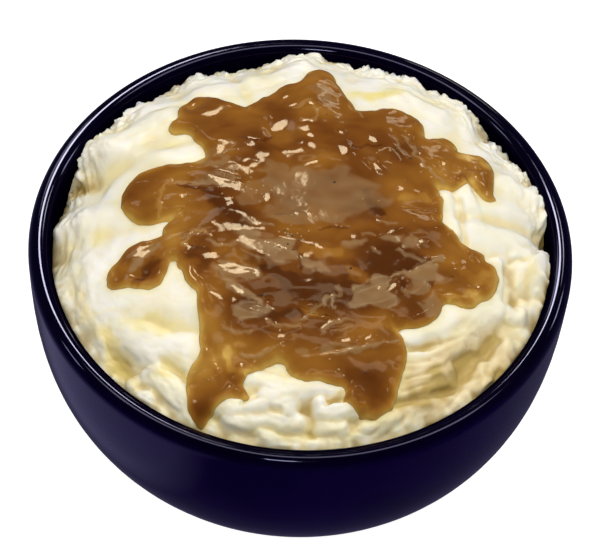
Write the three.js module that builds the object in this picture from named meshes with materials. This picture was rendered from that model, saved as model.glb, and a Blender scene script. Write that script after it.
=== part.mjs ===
// A side of mashed potato: a glazed bowl, the potato mounded in it, and brown gravy poured over it.
// Millimetres, +Z up. The origin is under the middle of the bowl, on the surface that it stands on.
import * as THREE from "three";

// Bowl
const RIM_RADIUS = 70;
const BOWL_HEIGHT = 66;
const LIP_ROUND = 2.9; // the lip is a full round bead of this radius
const LIP_STEPS = 6;
const WALL_POWER = 3; // how long the wall stays upright before it turns in
const WALL_ROUNDING = 2.2; // how full the turn to the underside is
const UNDERSIDE_RADIUS = 28;
const UNDERSIDE_HEIGHT = 1.5;
const FLOOR_HEIGHT = 8;
const FLOOR_RADIUS = 24;
const FOOT_OUTSIDE = 37.5;
const FOOT_INSIDE = 31.5;
const FOOT_EDGE = 0.6; // chamfer along the standing edge of the foot
const RECESS_HEIGHT = 2.4; // underside of the bowl inside its foot
const BOWL_SIDES = 64;
const OUTSIDE_HEIGHTS = [5, 8.5, 13, 19, 27, 38, 50]; // where the outside wall has a corner
const INSIDE_HEIGHTS = [50, 32, 18, 10.5];

// Potato
const MOUND_TOP = 76.5;
const CONTACT_HEIGHT = 61.6; // where the potato meets the wall, on average
const MOUND_POWER = 2.4; // how flat the top is
const SHOULDER_POWER = 0.75; // how steep the side next to the wall is
const POTATO_CLEARANCE = 0.35;
const RINGS = 24;
const RING_EASE = 1.15; // rings lie closer together towards the wall
const HOLLOW_CENTRE = [5, 3]; // the shallow dip on top, where the gravy stands level
const HOLLOW_RADII = [19, 12];
const HOLLOW_DEPTH = 1.7;
const FOLD_LEAN = 0.4; // a fold is steeper on its outer side and shallower on its inner side
const FOLD_COVER = 3.5; // the folds run out this far under the gravy
const FOLD_WANDER = [
  { size: 6, shift: 0.8, seed: 71 },
  { size: 2.3, shift: 0.35, seed: 73 },
];
const ROUGH_FROM = 0.72; // share of the radius where the smooth top turns rough
const ROUGH_OVER = 0.25;
const SMOOTH_SHARE = 0.25;
const CRAGS = [
  { size: 5.3, rise: 0.6, seed: 1 },
  { size: 2.6, rise: 0.3, seed: 2 },
];
// The ragged line along the wall: its size is in degrees, and it starts at a share of the radius.
const CONTACT_CRAG = { size: 6, rise: 1.1, seed: 5, start: 0.8 };

// Gravy
const GRAVY_CLEARANCE = 0.35;
const GRAVY_EDGE = 0.5; // upright edge of the gravy
const GRAVY_RUN = 1.9; // thickness of a run
const GRAVY_DEEPER = 0.8; // added well inside the pool
const GRAVY_ROUND = 2.4; // width of the rounded border
const GRAVY_SLOPE = 18; // distance over which the pool deepens
const POOL_LEVEL = 78;
const RUN_BLEND = 1.6;
const NOTCH_BLEND = 0.8;
const BORDER_WANDER = [
  { size: 3.3, shift: 0.4, seed: 81 },
  { size: 1.6, shift: 0.2, seed: 82 },
];
const SHORTEST_CUT = 0.14; // the gravy's edge keeps this share of a lattice edge to each corner

const INSIDE_RADIUS = RIM_RADIUS - 2 * LIP_ROUND;
const LIP_HEIGHT = BOWL_HEIGHT - LIP_ROUND;
const AVOID_ZERO = 0.01;

// Where the potato stands higher or lower against the wall: degrees from +X, half width, rise.
const contactSwells = [
  { at: 4, width: 2.6, rise: -4 },
  { at: 15, width: 8, rise: 3.2 },
  { at: 38, width: 7, rise: -2.6 },
  { at: 47, width: 4.5, rise: 3.2 },
  { at: 60, width: 8, rise: 2.2 },
  { at: 78, width: 6, rise: -1.8 },
  { at: 92, width: 6, rise: 2.4 },
  { at: 103, width: 6, rise: -2.8 },
  { at: 112, width: 3, rise: -3 },
  { at: 129, width: 5, rise: -2.8 },
  { at: 139, width: 4, rise: 1.2 },
  { at: 156.5, width: 5, rise: 4.2 },
  { at: 168, width: 9.5, rise: -6.6 },
  { at: 187, width: 5.5, rise: -4.6 },
  { at: 354, width: 7, rise: 3.5 },
];

// Folds that the spoon left: the crest's path, half width, rise, and how soft the foot of its side is.
const swipedLeft = [
  {
    path: [[-56.4, 22.0], [-51.5, 26.5], [-43.9, 30.7], [-36.3, 34.6]],
    half: 5.8,
    rise: 1.7,
    softness: 1.5,
  },
  { path: [[-49.7, 10.4], [-43.3, 14.0], [-32.8, 18.3]], half: 5.2, rise: 1.1, softness: 1.6 },
  { path: [[-56.1, 1.3], [-56.5, -8.7], [-52.8, -19.6]], half: 6.2, rise: 1.0, softness: 1.6 },
  {
    path: [[-47.6, -29.8], [-39.9, -29.0], [-32.5, -29.0], [-25.8, -30.2]],
    half: 10,
    rise: 2.0,
    softness: 1.6,
  },
];
const frontLeftLumps = [
  { path: [[-43.9, -37.8], [-35.1, -41.5], [-27.5, -44.0]], half: 5.2, rise: 2.0, softness: 0.9 },
  { path: [[-34.6, -47.9], [-29.4, -52.2], [-24.6, -57.4]], half: 3.6, rise: 2.2, softness: 0.8 },
  { path: [[-38.8, -49.4], [-34.7, -53.3]], half: 3.0, rise: 1.8, softness: 0.8 },
  { path: [[-31.5, -55.5], [-28.5, -58.0]], half: 2.0, rise: 1.2, softness: 0.8 },
  { path: [[-51.6, -31.0], [-46.8, -38.8]], half: 3.2, rise: 1.3, softness: 1.1 },
];
const frontLumps = [
  {
    path: [[-13.5, -49.6], [-4.5, -51.6], [4.5, -50.8], [11.5, -49.8]],
    half: 2.6,
    rise: 1.7,
    softness: 0.8,
  },
  { path: [[-17.5, -55.0], [-9.0, -55.6], [-1.0, -55.0]], half: 3.4, rise: 2.6, softness: 0.7 },
  { path: [[-14.0, -58.8], [-4.0, -59.2], [2.6, -58.4]], half: 2.6, rise: 1.8, softness: 0.7 },
  { path: [[7.5, -55.6], [12.0, -54.6], [16.5, -54.0]], half: 3.2, rise: 2.6, softness: 0.7 },
  { path: [[7.0, -58.8], [12.5, -58.2]], half: 2.4, rise: 1.6, softness: 0.8 },
  { path: [[18.5, -57.2], [25.6, -54.4]], half: 2.8, rise: 1.5, softness: 0.9 },
  { path: [[-6.4, -62.3], [1.8, -62.6]], half: 1.8, rise: 1.0, softness: 1.0 },
];
const frontRightFan = [
  {
    path: [[28.0, -36.4], [33.5, -32.6], [38.5, -29.4], [41.5, -27.4]],
    half: 2.8,
    rise: 1.7,
    softness: 0.8,
  },
  {
    path: [[34.0, -33.0], [42.0, -27.5], [48.0, -22.5], [51.0, -17.0]],
    half: 6.5,
    rise: 1.5,
    softness: 1.2,
  },
  { path: [[27.5, -39.5], [36.0, -36.5], [44.0, -31.5]], half: 2.6, rise: 1.3, softness: 1.0 },
  { path: [[27.0, -42.2], [35.0, -39.8], [41.0, -35.8]], half: 2.2, rise: 1.2, softness: 1.0 },
  { path: [[26.5, -46.0], [33.5, -43.2], [38.0, -40.0]], half: 2.6, rise: 1.7, softness: 0.9 },
  { path: [[25.4, -49.6], [33.0, -46.3], [39.5, -42.4]], half: 2.6, rise: 1.8, softness: 0.9 },
  { path: [[26.0, -53.0], [34.0, -50.0]], half: 2.6, rise: 0.9, softness: 1.2 },
  {
    path: [[31.5, -54.0], [41.6, -48.6], [49.5, -41.4], [56.0, -32.6]],
    half: 4.2,
    rise: 1.5,
    softness: 1.2,
  },
];
const rightFolds = [
  {
    path: [[50.0, -9.4], [52.2, -12.7], [52.2, -18.1], [50.2, -23.5]],
    half: 2.1,
    rise: 1.5,
    softness: 1.0,
  },
  { path: [[54.4, -22.6], [56.0, -22.4]], half: 3.0, rise: 1.9, softness: 1.0 },
  { path: [[59.8, -4.0], [60.0, -11.6]], half: 5.0, rise: 1.9, softness: 1.2 },
  { path: [[47.8, 2.5], [56.5, 3.7]], half: 10.6, rise: 2.4, softness: 1.5 },
  { path: [[37.0, 8.5], [38.0, 2.0], [39.4, -4.0]], half: 2.6, rise: 1.8, softness: 0.9 },
  { path: [[42.0, 12.5], [43.6, 6.0], [45.2, 0.0]], half: 3.2, rise: 2.1, softness: 0.9 },
  { path: [[51.5, 19.2], [59.4, 18.5]], half: 3.8, rise: 1.0, softness: 1.5 },
];
const backWaves = [
  { path: [[-16.5, 50.3], [-3.3, 57.0]], half: 4.2, rise: 1.2, softness: 1.5 },
  { path: [[-30.7, 44.7], [-20.1, 47.3]], half: 4.2, rise: 1.0, softness: 1.5 },
  { path: [[24.1, 47.1], [35.0, 41.4]], half: 4.0, rise: 1.2, softness: 1.5 },
  { path: [[16.5, 59.3], [22.1, 57.7]], half: 2.8, rise: 1.0, softness: 1.5 },
  { path: [[41.3, 44.6], [44.3, 37.6]], half: 3.0, rise: 1.2, softness: 1.5 },
];
const folds = [
  ...swipedLeft,
  ...frontLeftLumps,
  ...frontLumps,
  ...frontRightFan,
  ...rightFolds,
  ...backWaves,
];
const furrows = [
  { path: [[50.0, -28.5], [46.0, -35.0], [41.0, -40.5], [37.5, -44.5]], half: 2.2, depth: 2.3 },
  { path: [[28.0, -38.2], [35.0, -34.4]], half: 1.0, depth: 0.8 },
  { path: [[-44.8, -39.2], [-40.8, -44.5], [-37.6, -48.1]], half: 3.6, depth: 2.0 },
  { path: [[52.8, -10.5], [53.4, -18.8]], half: 2.0, depth: 1.0 },
  { path: [[53.1, -18.1], [54.0, -18.3]], half: 2.2, depth: 1.2 },
  { path: [[3.4, -54.5], [5.2, -60.0]], half: 1.5, depth: 1.6 },
  { path: [[8.5, -52.4], [13.0, -52.0]], half: 1.0, depth: 1.4 },
  { path: [[-13.5, -52.9], [-8.5, -52.6]], half: 0.9, depth: 1.0 },
  { path: [[57.5, -2.2], [63.5, 6.4]], half: 1.8, depth: 1.2 },
  { path: [[56.4, -5.3], [56.9, -15.6]], half: 1.6, depth: 0.8 },
  { path: [[-58.3, 14.9], [-55.5, 14.3]], half: 2.2, depth: 1.2 },
  { path: [[47.1, 43.8], [47.9, 38.6]], half: 2.0, depth: 1.4 },
  { path: [[-31.7, -45.1], [-26.3, -48.5]], half: 1.4, depth: 0.8 },
  { path: [[-20.7, -54.5], [-21.7, -56.9]], half: 2.6, depth: 1.4 },
];

// The gravy is a pool with runs. Each run is a straight stretch with a half width at either end.
const pool = { from: [2, 0], to: [3, 1], halves: [32, 32] };
const backRuns = [
  { from: [1, 30], to: [2.5, 49.2], halves: [15, 4.3] },
  { from: [-8, 33], to: [-5, 40.5], halves: [9, 5.5] },
  { from: [-14, 20], to: [-27.8, 33.5], halves: [12, 6.9] },
  { from: [-28, 30], to: [-34.4, 28], halves: [5, 2.6] },
  { from: [-28, 34], to: [-30, 38.2], halves: [5, 3.4] },
  { from: [14, 24], to: [22.4, 30.4], halves: [13, 8.3] },
];
const leftRuns = [
  { from: [-22, 6], to: [-38, 4.2], halves: [8.5, 9.1] },
  { from: [-28, -6], to: [-31, -8], halves: [5.5, 3.8] },
  { from: [-29, -12], to: [-38.2, -18.6], halves: [5, 7.4] },
  { from: [-40, -17.6], to: [-43.6, -20.2], halves: [6, 3.8] },
  { from: [-43.6, -20], to: [-44.6, -22.8], halves: [3.2, 2.6] },
];
const frontRuns = [
  { from: [-19, -17], to: [-20, -18.5], halves: [9.6, 9.6] },
  { from: [-16, -26], to: [-15.5, -42], halves: [9, 7] },
  { from: [-15.5, -42], to: [-19.6, -50.4], halves: [7, 6.1] },
  { from: [-19.6, -50.4], to: [-21.4, -54.6], halves: [6.1, 3.2] },
  { from: [-21.4, -54.6], to: [-22, -57.4], halves: [3.2, 1.6] },
  { from: [-14, -51.2], to: [-11.4, -53.8], halves: [2.8, 1.1] },
  { from: [-12, -39.5], to: [-4, -36], halves: [8.3, 8.2] },
  { from: [4, -40.5], to: [18, -41], halves: [8.6, 9.2] },
  { from: [18, -41], to: [19.4, -49.8], halves: [9.2, 5.9] },
  { from: [16, -52], to: [17, -55.2], halves: [3, 1.5] },
  { from: [14, -24], to: [27.2, -24.5], halves: [12, 9] },
];
const rightRuns = [
  { from: [24, -15], to: [42.8, -14.8], halves: [14.2, 7.4] },
  { from: [37, -19], to: [41.2, -21.8], halves: [5, 3.4] },
  { from: [30, -5], to: [35, -9], halves: [7.5, 6.2] },
  { from: [22, 3], to: [28, 4], halves: [13, 7.8] },
  { from: [24, 19], to: [36, 20], halves: [12, 8.1] },
  { from: [34, 24], to: [36.4, 28.4], halves: [6, 3.4] },
  { from: [36, 20], to: [43.7, 22.2], halves: [7.8, 5.2] },
  { from: [45.4, 19.5], to: [47.2, 10.2], halves: [4, 1.9] },
  { from: [38.4, 15.5], to: [38.7, 13], halves: [3.4, 2.3] },
];
const runs = [...backRuns, ...leftRuns, ...frontRuns, ...rightRuns];
// Where the potato stands clear between the runs.
const notches = [
  { from: [-30.8, -25.5], to: [-31.6, -17.9], halves: [2.6, 0.9] },
  { from: [-3.4, -50], to: [-3.2, -46.2], halves: [5, 1.2] },
  { from: [-10.8, -50.3], to: [-5, -48.2], halves: [0.9, 1.6] },
  { from: [-34.5, 17.5], to: [-31.6, 18], halves: [3.6, 3.4] },
  { from: [-41, -8.9], to: [-37.8, -7.2], halves: [1.5, 1.1] },
  { from: [48.2, -8], to: [49.6, -8.6], halves: [1.6, 1.8] },
];

// Distance from a point to the stretch from a to b, how far along it the nearest point lies,
// and the way from there.
function nearStretch(x, y, a, b) {
  const dx = b[0] - a[0];
  const dy = b[1] - a[1];
  const raw = ((x - a[0]) * dx + (y - a[1]) * dy) / (dx * dx + dy * dy);
  const along = THREE.MathUtils.clamp(raw, 0, 1);
  const way = [x - a[0] - along * dx, y - a[1] - along * dy];
  return { distance: Math.hypot(...way), along, way };
}

function nearPath(x, y, path) {
  const stretches = path.slice(1).map((b, i) => nearStretch(x, y, path[i], b));
  return stretches.reduce((nearest, other) => (other.distance < nearest.distance ? other : nearest));
}

// Repeatable random number from 0 to 1 for a lattice cell.
function cellValue(i, j, seed) {
  let h = Math.imul(i, 374761393) + Math.imul(j, 668265263) + Math.imul(seed, 1442695041);
  h = Math.imul(h ^ (h >>> 13), 1274126177);
  return ((h ^ (h >>> 16)) >>> 0) / 4294967295;
}

// Smooth noise from -1 to 1 with cells of size 1.
function noise(x, y, seed) {
  const i = Math.floor(x);
  const j = Math.floor(y);
  const u = THREE.MathUtils.smoothstep(x - i, 0, 1);
  const v = THREE.MathUtils.smoothstep(y - j, 0, 1);
  const low = THREE.MathUtils.lerp(cellValue(i, j, seed), cellValue(i + 1, j, seed), u);
  const high = THREE.MathUtils.lerp(cellValue(i, j + 1, seed), cellValue(i + 1, j + 1, seed), u);
  return 2 * THREE.MathUtils.lerp(low, high, v) - 1;
}

function contactHeight(x, y) {
  const degrees = THREE.MathUtils.euclideanModulo(THREE.MathUtils.radToDeg(Math.atan2(y, x)), 360);
  let z = CONTACT_HEIGHT;
  for (const { at, width, rise } of contactSwells) {
    const away = THREE.MathUtils.euclideanModulo(degrees - at + 180, 360) - 180;
    z += rise * Math.exp(-((away / width) ** 2));
  }
  const { size, rise, seed, start } = CONTACT_CRAG;
  const strength = THREE.MathUtils.smoothstep(Math.hypot(x, y) / INSIDE_RADIUS, start, 1);
  return z + strength * rise * noise(degrees / size, 0.5, seed);
}

function hollowShare(x, y) {
  const u = (x - HOLLOW_CENTRE[0]) / HOLLOW_RADII[0];
  const v = (y - HOLLOW_CENTRE[1]) / HOLLOW_RADII[1];
  return Math.exp(-((u * u + v * v) ** 2));
}

// The folds run into each other softly, and the furrows are pressed into them.
function foldsAndFurrows(x, y) {
  let [wanderedX, wanderedY] = [x, y];
  for (const { size, shift, seed } of FOLD_WANDER) {
    const [startX, startY] = [wanderedX, wanderedY];
    wanderedX = startX + shift * noise(x / size, y / size, seed);
    wanderedY = startY + shift * noise(x / size, y / size, seed + 1);
  }
  let cubes = 0;
  for (const { path, half, rise, softness } of folds) {
    const { distance, way } = nearPath(wanderedX, wanderedY, path);
    const outwards = (way[0] * x + way[1] * y) / (distance * Math.hypot(x, y) + AVOID_ZERO);
    const across = Math.min(distance / (half * (1 - FOLD_LEAN * outwards)), 1);
    cubes += (rise * (1 - across ** 2) ** softness) ** 3;
  }
  let z = Math.cbrt(cubes);
  for (const { path, half, depth } of furrows) {
    z -= depth * Math.exp(-((nearPath(wanderedX, wanderedY, path).distance / half) ** 2));
  }
  return z;
}

// Height of the potato's surface.
function potatoHeight(x, y) {
  const share = Math.min(Math.hypot(x, y) / INSIDE_RADIUS, 1);
  const contact = contactHeight(x, y);
  let z = contact + (MOUND_TOP - contact) * (1 - share ** MOUND_POWER) ** SHOULDER_POWER;
  z -= HOLLOW_DEPTH * hollowShare(x, y);
  z += foldsAndFurrows(x, y) * (1 - THREE.MathUtils.smoothstep(insideGravy(x, y), 0, FOLD_COVER));
  const rough = THREE.MathUtils.clamp((share - ROUGH_FROM) / ROUGH_OVER, 0, 1);
  const strength = THREE.MathUtils.lerp(SMOOTH_SHARE, 1, rough);
  for (const { size, rise, seed } of CRAGS) {
    z += strength * rise * noise(x / size, y / size, seed);
  }
  return z;
}

function smoothMin(a, b, blend) {
  const h = THREE.MathUtils.clamp(0.5 + (0.5 * (b - a)) / blend, 0, 1);
  return THREE.MathUtils.lerp(b, a, h) - blend * h * (1 - h);
}

function outsideRun(x, y, { from, to, halves }) {
  const { distance, along } = nearStretch(x, y, from, to);
  return distance - THREE.MathUtils.lerp(halves[0], halves[1], along);
}

// How deep a point lies inside the gravy's outline; negative outside it.
function insideGravy(x, y) {
  let outside = outsideRun(x, y, pool);
  for (const run of runs) {
    outside = smoothMin(outside, outsideRun(x, y, run), RUN_BLEND);
  }
  let inside = -outside;
  for (const notch of notches) {
    inside = smoothMin(inside, outsideRun(x, y, notch), NOTCH_BLEND);
  }
  for (const { size, shift, seed } of BORDER_WANDER) {
    inside += shift * noise(x / size, y / size, seed);
  }
  return inside;
}

// Height of the gravy's surface over potato at height z.
function gravyHeight(x, y, z) {
  const inside = Math.max(insideGravy(x, y), 0);
  const rounding = Math.sqrt(1 - (1 - Math.min(inside / GRAVY_ROUND, 1)) ** 2);
  const deeper = GRAVY_DEEPER * THREE.MathUtils.smoothstep(inside, 0, GRAVY_SLOPE);
  const thickness = GRAVY_EDGE + (GRAVY_RUN - GRAVY_EDGE) * rounding + deeper;
  return THREE.MathUtils.lerp(z + GRAVY_CLEARANCE + thickness, POOL_LEVEL, hollowShare(x, y));
}

// Radius of a wall that stands upright under the lip and turns in to meet a flat base.
function wallRadius(z, topRadius, baseRadius, baseHeight) {
  const down = (LIP_HEIGHT - z) / (LIP_HEIGHT - baseHeight);
  const spread = (1 - down ** WALL_POWER) ** (1 / WALL_ROUNDING);
  return baseRadius + (topRadius - baseRadius) * spread;
}

// Corners of the inside wall, from the top down.
function insideCorners() {
  return INSIDE_HEIGHTS.map((z) => [wallRadius(z, INSIDE_RADIUS, FLOOR_RADIUS, FLOOR_HEIGHT), z]);
}

function bowlProfile() {
  const profile = [
    [0, RECESS_HEIGHT],
    [FOOT_INSIDE - FOOT_EDGE, RECESS_HEIGHT],
    [FOOT_INSIDE, FOOT_EDGE],
    [FOOT_INSIDE + FOOT_EDGE, 0],
    [FOOT_OUTSIDE - FOOT_EDGE, 0],
    [FOOT_OUTSIDE, FOOT_EDGE],
    [FOOT_OUTSIDE + FOOT_EDGE, RECESS_HEIGHT],
  ];
  for (const z of OUTSIDE_HEIGHTS) {
    profile.push([wallRadius(z, RIM_RADIUS, UNDERSIDE_RADIUS, UNDERSIDE_HEIGHT), z]);
  }
  for (let i = 0; i <= LIP_STEPS; i++) {
    const turn = (Math.PI * i) / LIP_STEPS;
    const radius = RIM_RADIUS - LIP_ROUND + LIP_ROUND * Math.cos(turn);
    profile.push([radius, LIP_HEIGHT + LIP_ROUND * Math.sin(turn)]);
  }
  profile.push(...insideCorners());
  profile.push([FLOOR_RADIUS, FLOOR_HEIGHT], [0, FLOOR_HEIGHT]);
  return profile.map(([radius, z]) => new THREE.Vector2(radius, z));
}

// Points on rings round the origin, 6k of them on ring k, and the triangles between them.
function ringLattice(rings, radius) {
  const points = [[0, 0]];
  const triangles = [];
  const firstOf = (k) => (k === 0 ? 0 : 3 * k * (k - 1) + 1);
  const pointOn = (k, i) => firstOf(k) + (k === 0 ? 0 : i % (6 * k));
  for (let k = 1; k <= rings; k++) {
    const ringRadius = radius * (1 - (1 - k / rings) ** RING_EASE);
    for (let i = 0; i < 6 * k; i++) {
      const turn = (Math.PI * i) / (3 * k);
      points.push([ringRadius * Math.cos(turn), ringRadius * Math.sin(turn)]);
    }
    for (let sector = 0; sector < 6; sector++) {
      for (let i = 0; i < k; i++) {
        const outer = sector * k + i;
        const inner = sector * (k - 1) + i;
        triangles.push([pointOn(k, outer), pointOn(k, outer + 1), pointOn(k - 1, inner)]);
        if (i < k - 1) {
          triangles.push([pointOn(k, outer + 1), pointOn(k - 1, inner + 1), pointOn(k - 1, inner)]);
        }
      }
    }
  }
  return { points, triangles, edgeStart: firstOf(rings), edgeCount: 6 * rings };
}

function closedGeometry(vertices, triangles) {
  const geometry = new THREE.BufferGeometry();
  geometry.setAttribute("position", new THREE.Float32BufferAttribute(vertices.flat(), 3));
  geometry.setIndex(triangles.flat());
  geometry.computeVertexNormals();
  return geometry;
}

// The potato: its mounded top, then down the bowl's inside wall to the floor.
function potatoGeometry({ points, triangles, edgeStart, edgeCount }, heights) {
  const vertices = points.map(([x, y], i) => [x, y, heights[i]]);
  const faces = triangles.map((triangle) => [...triangle]);
  let above = edgeStart;
  for (const [radius, z] of insideCorners()) {
    const row = vertices.length;
    for (let i = 0; i < edgeCount; i++) {
      const turn = (2 * Math.PI * i) / edgeCount;
      const inset = radius - POTATO_CLEARANCE;
      vertices.push([inset * Math.cos(turn), inset * Math.sin(turn), z + POTATO_CLEARANCE]);
      const next = (i + 1) % edgeCount;
      faces.push([above + i, row + i, above + next], [above + next, row + i, row + next]);
    }
    above = row;
  }
  const middle = vertices.length;
  vertices.push([0, 0, FLOOR_HEIGHT + POTATO_CLEARANCE]);
  for (let i = 0; i < edgeCount; i++) {
    faces.push([above + i, middle, above + ((i + 1) % edgeCount)]);
  }
  return closedGeometry(vertices, faces);
}

// The part of the potato's top inside the gravy's outline, with new points where the outline crosses.
function gravyPatch({ points, triangles }, heights) {
  const depths = points.map(([x, y]) => insideGravy(x, y));
  const vertices = [];
  const known = new Map();
  const remember = (key, vertex) => {
    if (!known.has(key)) {
      known.set(key, vertices.length);
      vertices.push(vertex);
    }
    return known.get(key);
  };
  const corner = (i) => remember(String(i), [points[i][0], points[i][1], heights[i]]);
  const crossing = (i, j) => {
    const [a, b] = i < j ? [i, j] : [j, i];
    const exact = depths[a] / (depths[a] - depths[b]);
    const share = THREE.MathUtils.clamp(exact, SHORTEST_CUT, 1 - SHORTEST_CUT);
    const mix = (p, q) => THREE.MathUtils.lerp(p, q, share);
    const [x, y] = [mix(points[a][0], points[b][0]), mix(points[a][1], points[b][1])];
    return remember(a + "-" + b, [x, y, mix(heights[a], heights[b])]);
  };
  const faces = [];
  for (const triangle of triangles) {
    const outline = [];
    triangle.forEach((i, n) => {
      const j = triangle[(n + 1) % 3];
      if (depths[i] > 0) {
        outline.push(corner(i));
      }
      if (depths[i] > 0 !== depths[j] > 0) {
        outline.push(crossing(i, j));
      }
    });
    for (let n = 1; n + 1 < outline.length; n++) {
      faces.push([outline[0], outline[n], outline[n + 1]]);
    }
  }
  return { vertices, faces };
}

// Edges that belong to one face only, in that face's direction.
function openEdges(faces) {
  const edges = faces.flatMap(([a, b, c]) => [[a, b], [b, c], [c, a]]);
  const present = new Set(edges.map(([a, b]) => a + "-" + b));
  return edges.filter(([a, b]) => !present.has(b + "-" + a));
}

// The gravy: the patch as its underside, the same patch lifted as its surface, and an upright edge.
function gravyGeometry(lattice, heights) {
  const { vertices, faces } = gravyPatch(lattice, heights);
  const under = vertices.map(([x, y, z]) => [x, y, z + GRAVY_CLEARANCE]);
  const over = vertices.map(([x, y, z]) => [x, y, gravyHeight(x, y, z)]);
  const top = under.length;
  const closed = [];
  for (const [a, b, c] of faces) {
    closed.push([a + top, b + top, c + top], [a, c, b]);
  }
  for (const [a, b] of openEdges(faces)) {
    closed.push([a, b, b + top], [a, b + top, a + top]);
  }
  return closedGeometry([...under, ...over], closed);
}

function piece(name, geometry, color, roughness) {
  const material = new THREE.MeshStandardMaterial({ color, roughness, metalness: 0 });
  const mesh = new THREE.Mesh(geometry, material);
  mesh.name = name;
  return mesh;
}

const lattice = ringLattice(RINGS, INSIDE_RADIUS - POTATO_CLEARANCE);
const heights = lattice.points.map(([x, y]) => potatoHeight(x, y));
const bowlGeometry = new THREE.LatheGeometry(bowlProfile(), BOWL_SIDES).rotateX(Math.PI / 2);

const mashedPotatoSide = new THREE.Group();
mashedPotatoSide.add(
  piece("bowl", bowlGeometry, 0x0d0b30, 0.12),
  piece("mash", potatoGeometry(lattice, heights), 0xf6eed0, 0.55),
  piece("gravy", gravyGeometry(lattice, heights), 0x8c5520, 0.15),
);

export default mashedPotatoSide;
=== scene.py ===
# A side of mashed potato with brown gravy, mounded in a dark blue glazed bowl.
# Shapes are worked out in millimetres, as in the solids, and turned into metres where a mesh is made.
import math

import bpy
import numpy as np
from mathutils import Matrix


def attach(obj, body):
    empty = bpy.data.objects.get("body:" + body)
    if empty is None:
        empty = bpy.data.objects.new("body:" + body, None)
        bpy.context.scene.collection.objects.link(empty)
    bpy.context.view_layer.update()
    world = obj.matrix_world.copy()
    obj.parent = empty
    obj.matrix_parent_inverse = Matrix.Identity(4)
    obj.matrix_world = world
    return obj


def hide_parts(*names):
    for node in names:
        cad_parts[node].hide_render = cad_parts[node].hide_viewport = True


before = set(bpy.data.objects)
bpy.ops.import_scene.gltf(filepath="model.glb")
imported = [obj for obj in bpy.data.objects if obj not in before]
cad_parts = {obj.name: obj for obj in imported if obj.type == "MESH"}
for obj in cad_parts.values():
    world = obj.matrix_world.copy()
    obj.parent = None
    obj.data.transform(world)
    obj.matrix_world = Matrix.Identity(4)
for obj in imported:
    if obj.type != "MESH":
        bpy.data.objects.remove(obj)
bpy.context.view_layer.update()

MM = 0.001

# Bowl
RIM_RADIUS = 70
BOWL_HEIGHT = 66
LIP_ROUND = 2.9
WALL_POWER = 3
WALL_ROUNDING = 2.2
UNDERSIDE_RADIUS = 28
UNDERSIDE_HEIGHT = 1.5
FLOOR_HEIGHT = 8
FLOOR_RADIUS = 24
FOOT_OUTSIDE = 37.5
FOOT_INSIDE = 31.5
FOOT_EDGE = 0.6
RECESS_HEIGHT = 2.4
INSIDE_RADIUS = RIM_RADIUS - 2 * LIP_ROUND
LIP_HEIGHT = BOWL_HEIGHT - LIP_ROUND
BOWL_SIDES = 256
OUTSIDE_ROWS = 30
LIP_ROWS = 25
INSIDE_ROWS = 14

# Potato
MOUND_TOP = 76.5
CONTACT_HEIGHT = 61.6
MOUND_POWER = 2.4
SHOULDER_POWER = 0.75
POOL_HOLLOW = (5, 3, 19, 12, 0)  # a place, as explained below
HOLLOW_DEPTH = 1.7
ROUGH_FROM = 0.72
ROUGH_OVER = 0.25
SMOOTH_SHARE = 0.25
CRAGS = ((5.3, 0.6, 1), (2.6, 0.3, 2))  # size, rise, seed
# Crags where the potato meets the wall: degrees long, rise, seed, and their start as a share of the radius.
CONTACT_CRAGS = ((6, 1.1, 5, 0.8), (2.9, 1.2, 6, 0.91), (1.3, 1.0, 7, 0.95))
POTATO_RINGS = 170
RING_EASE = 1.15
SKIRT_HEIGHTS = (50, 32, 18, 10.5)  # where the potato's side has points, down the inside of the bowl
BOWL_GAP = 0.3
WALL_OVERLAP = 0.1  # how far the potato's crumbs may reach into the wall

# Gravy
GRAVY_SINK = 0.3  # how far the gravy's border sinks into the potato
GRAVY_RUN = 2.25
GRAVY_DEEPER = 0.8
GRAVY_ROUND = 2.4
GRAVY_EDGE_POWER = 0.62  # 0.5 would make the border's section a quarter of an ellipse
GRAVY_SLOPE = 18
GRAVY_UNDER = 0.6  # how far the underside lies inside the potato
GRAVY_RINGS = 160
GRAVY_REACH = 63
POOL_LEVEL = 78
RUN_BLEND = 1.6
NOTCH_BLEND = 0.8

# In the tables below, a path is the X and Y of each of its points in turn. A place is the X and Y of its
# middle, its half length and half width, and its turn in degrees. Warps shift the points that a shape is
# worked out for, so that its borders wander: shift along X and Y, size along X and Y, seeds for X and Y.
# Patches vary a strength from spot to spot: mean, swing, size along X and Y, seed. A range is where a
# change begins and where it is complete.

# Where the potato stands higher or lower against the wall: degrees from +X, half width, rise.
CONTACT_SWELLS = (
    (4, 2.6, -4), (15, 8, 3.2), (38, 7, -2.6), (47, 4.5, 3.2), (60, 8, 2.2), (78, 6, -1.8), (92, 6, 2.4),
    (103, 6, -2.8), (112, 3, -3), (129, 5, -2.8), (139, 4, 1.2), (156.5, 5, 4.2), (168, 9.5, -6.6),
    (187, 5.5, -4.6), (354, 7, 3.5),
)

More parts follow.
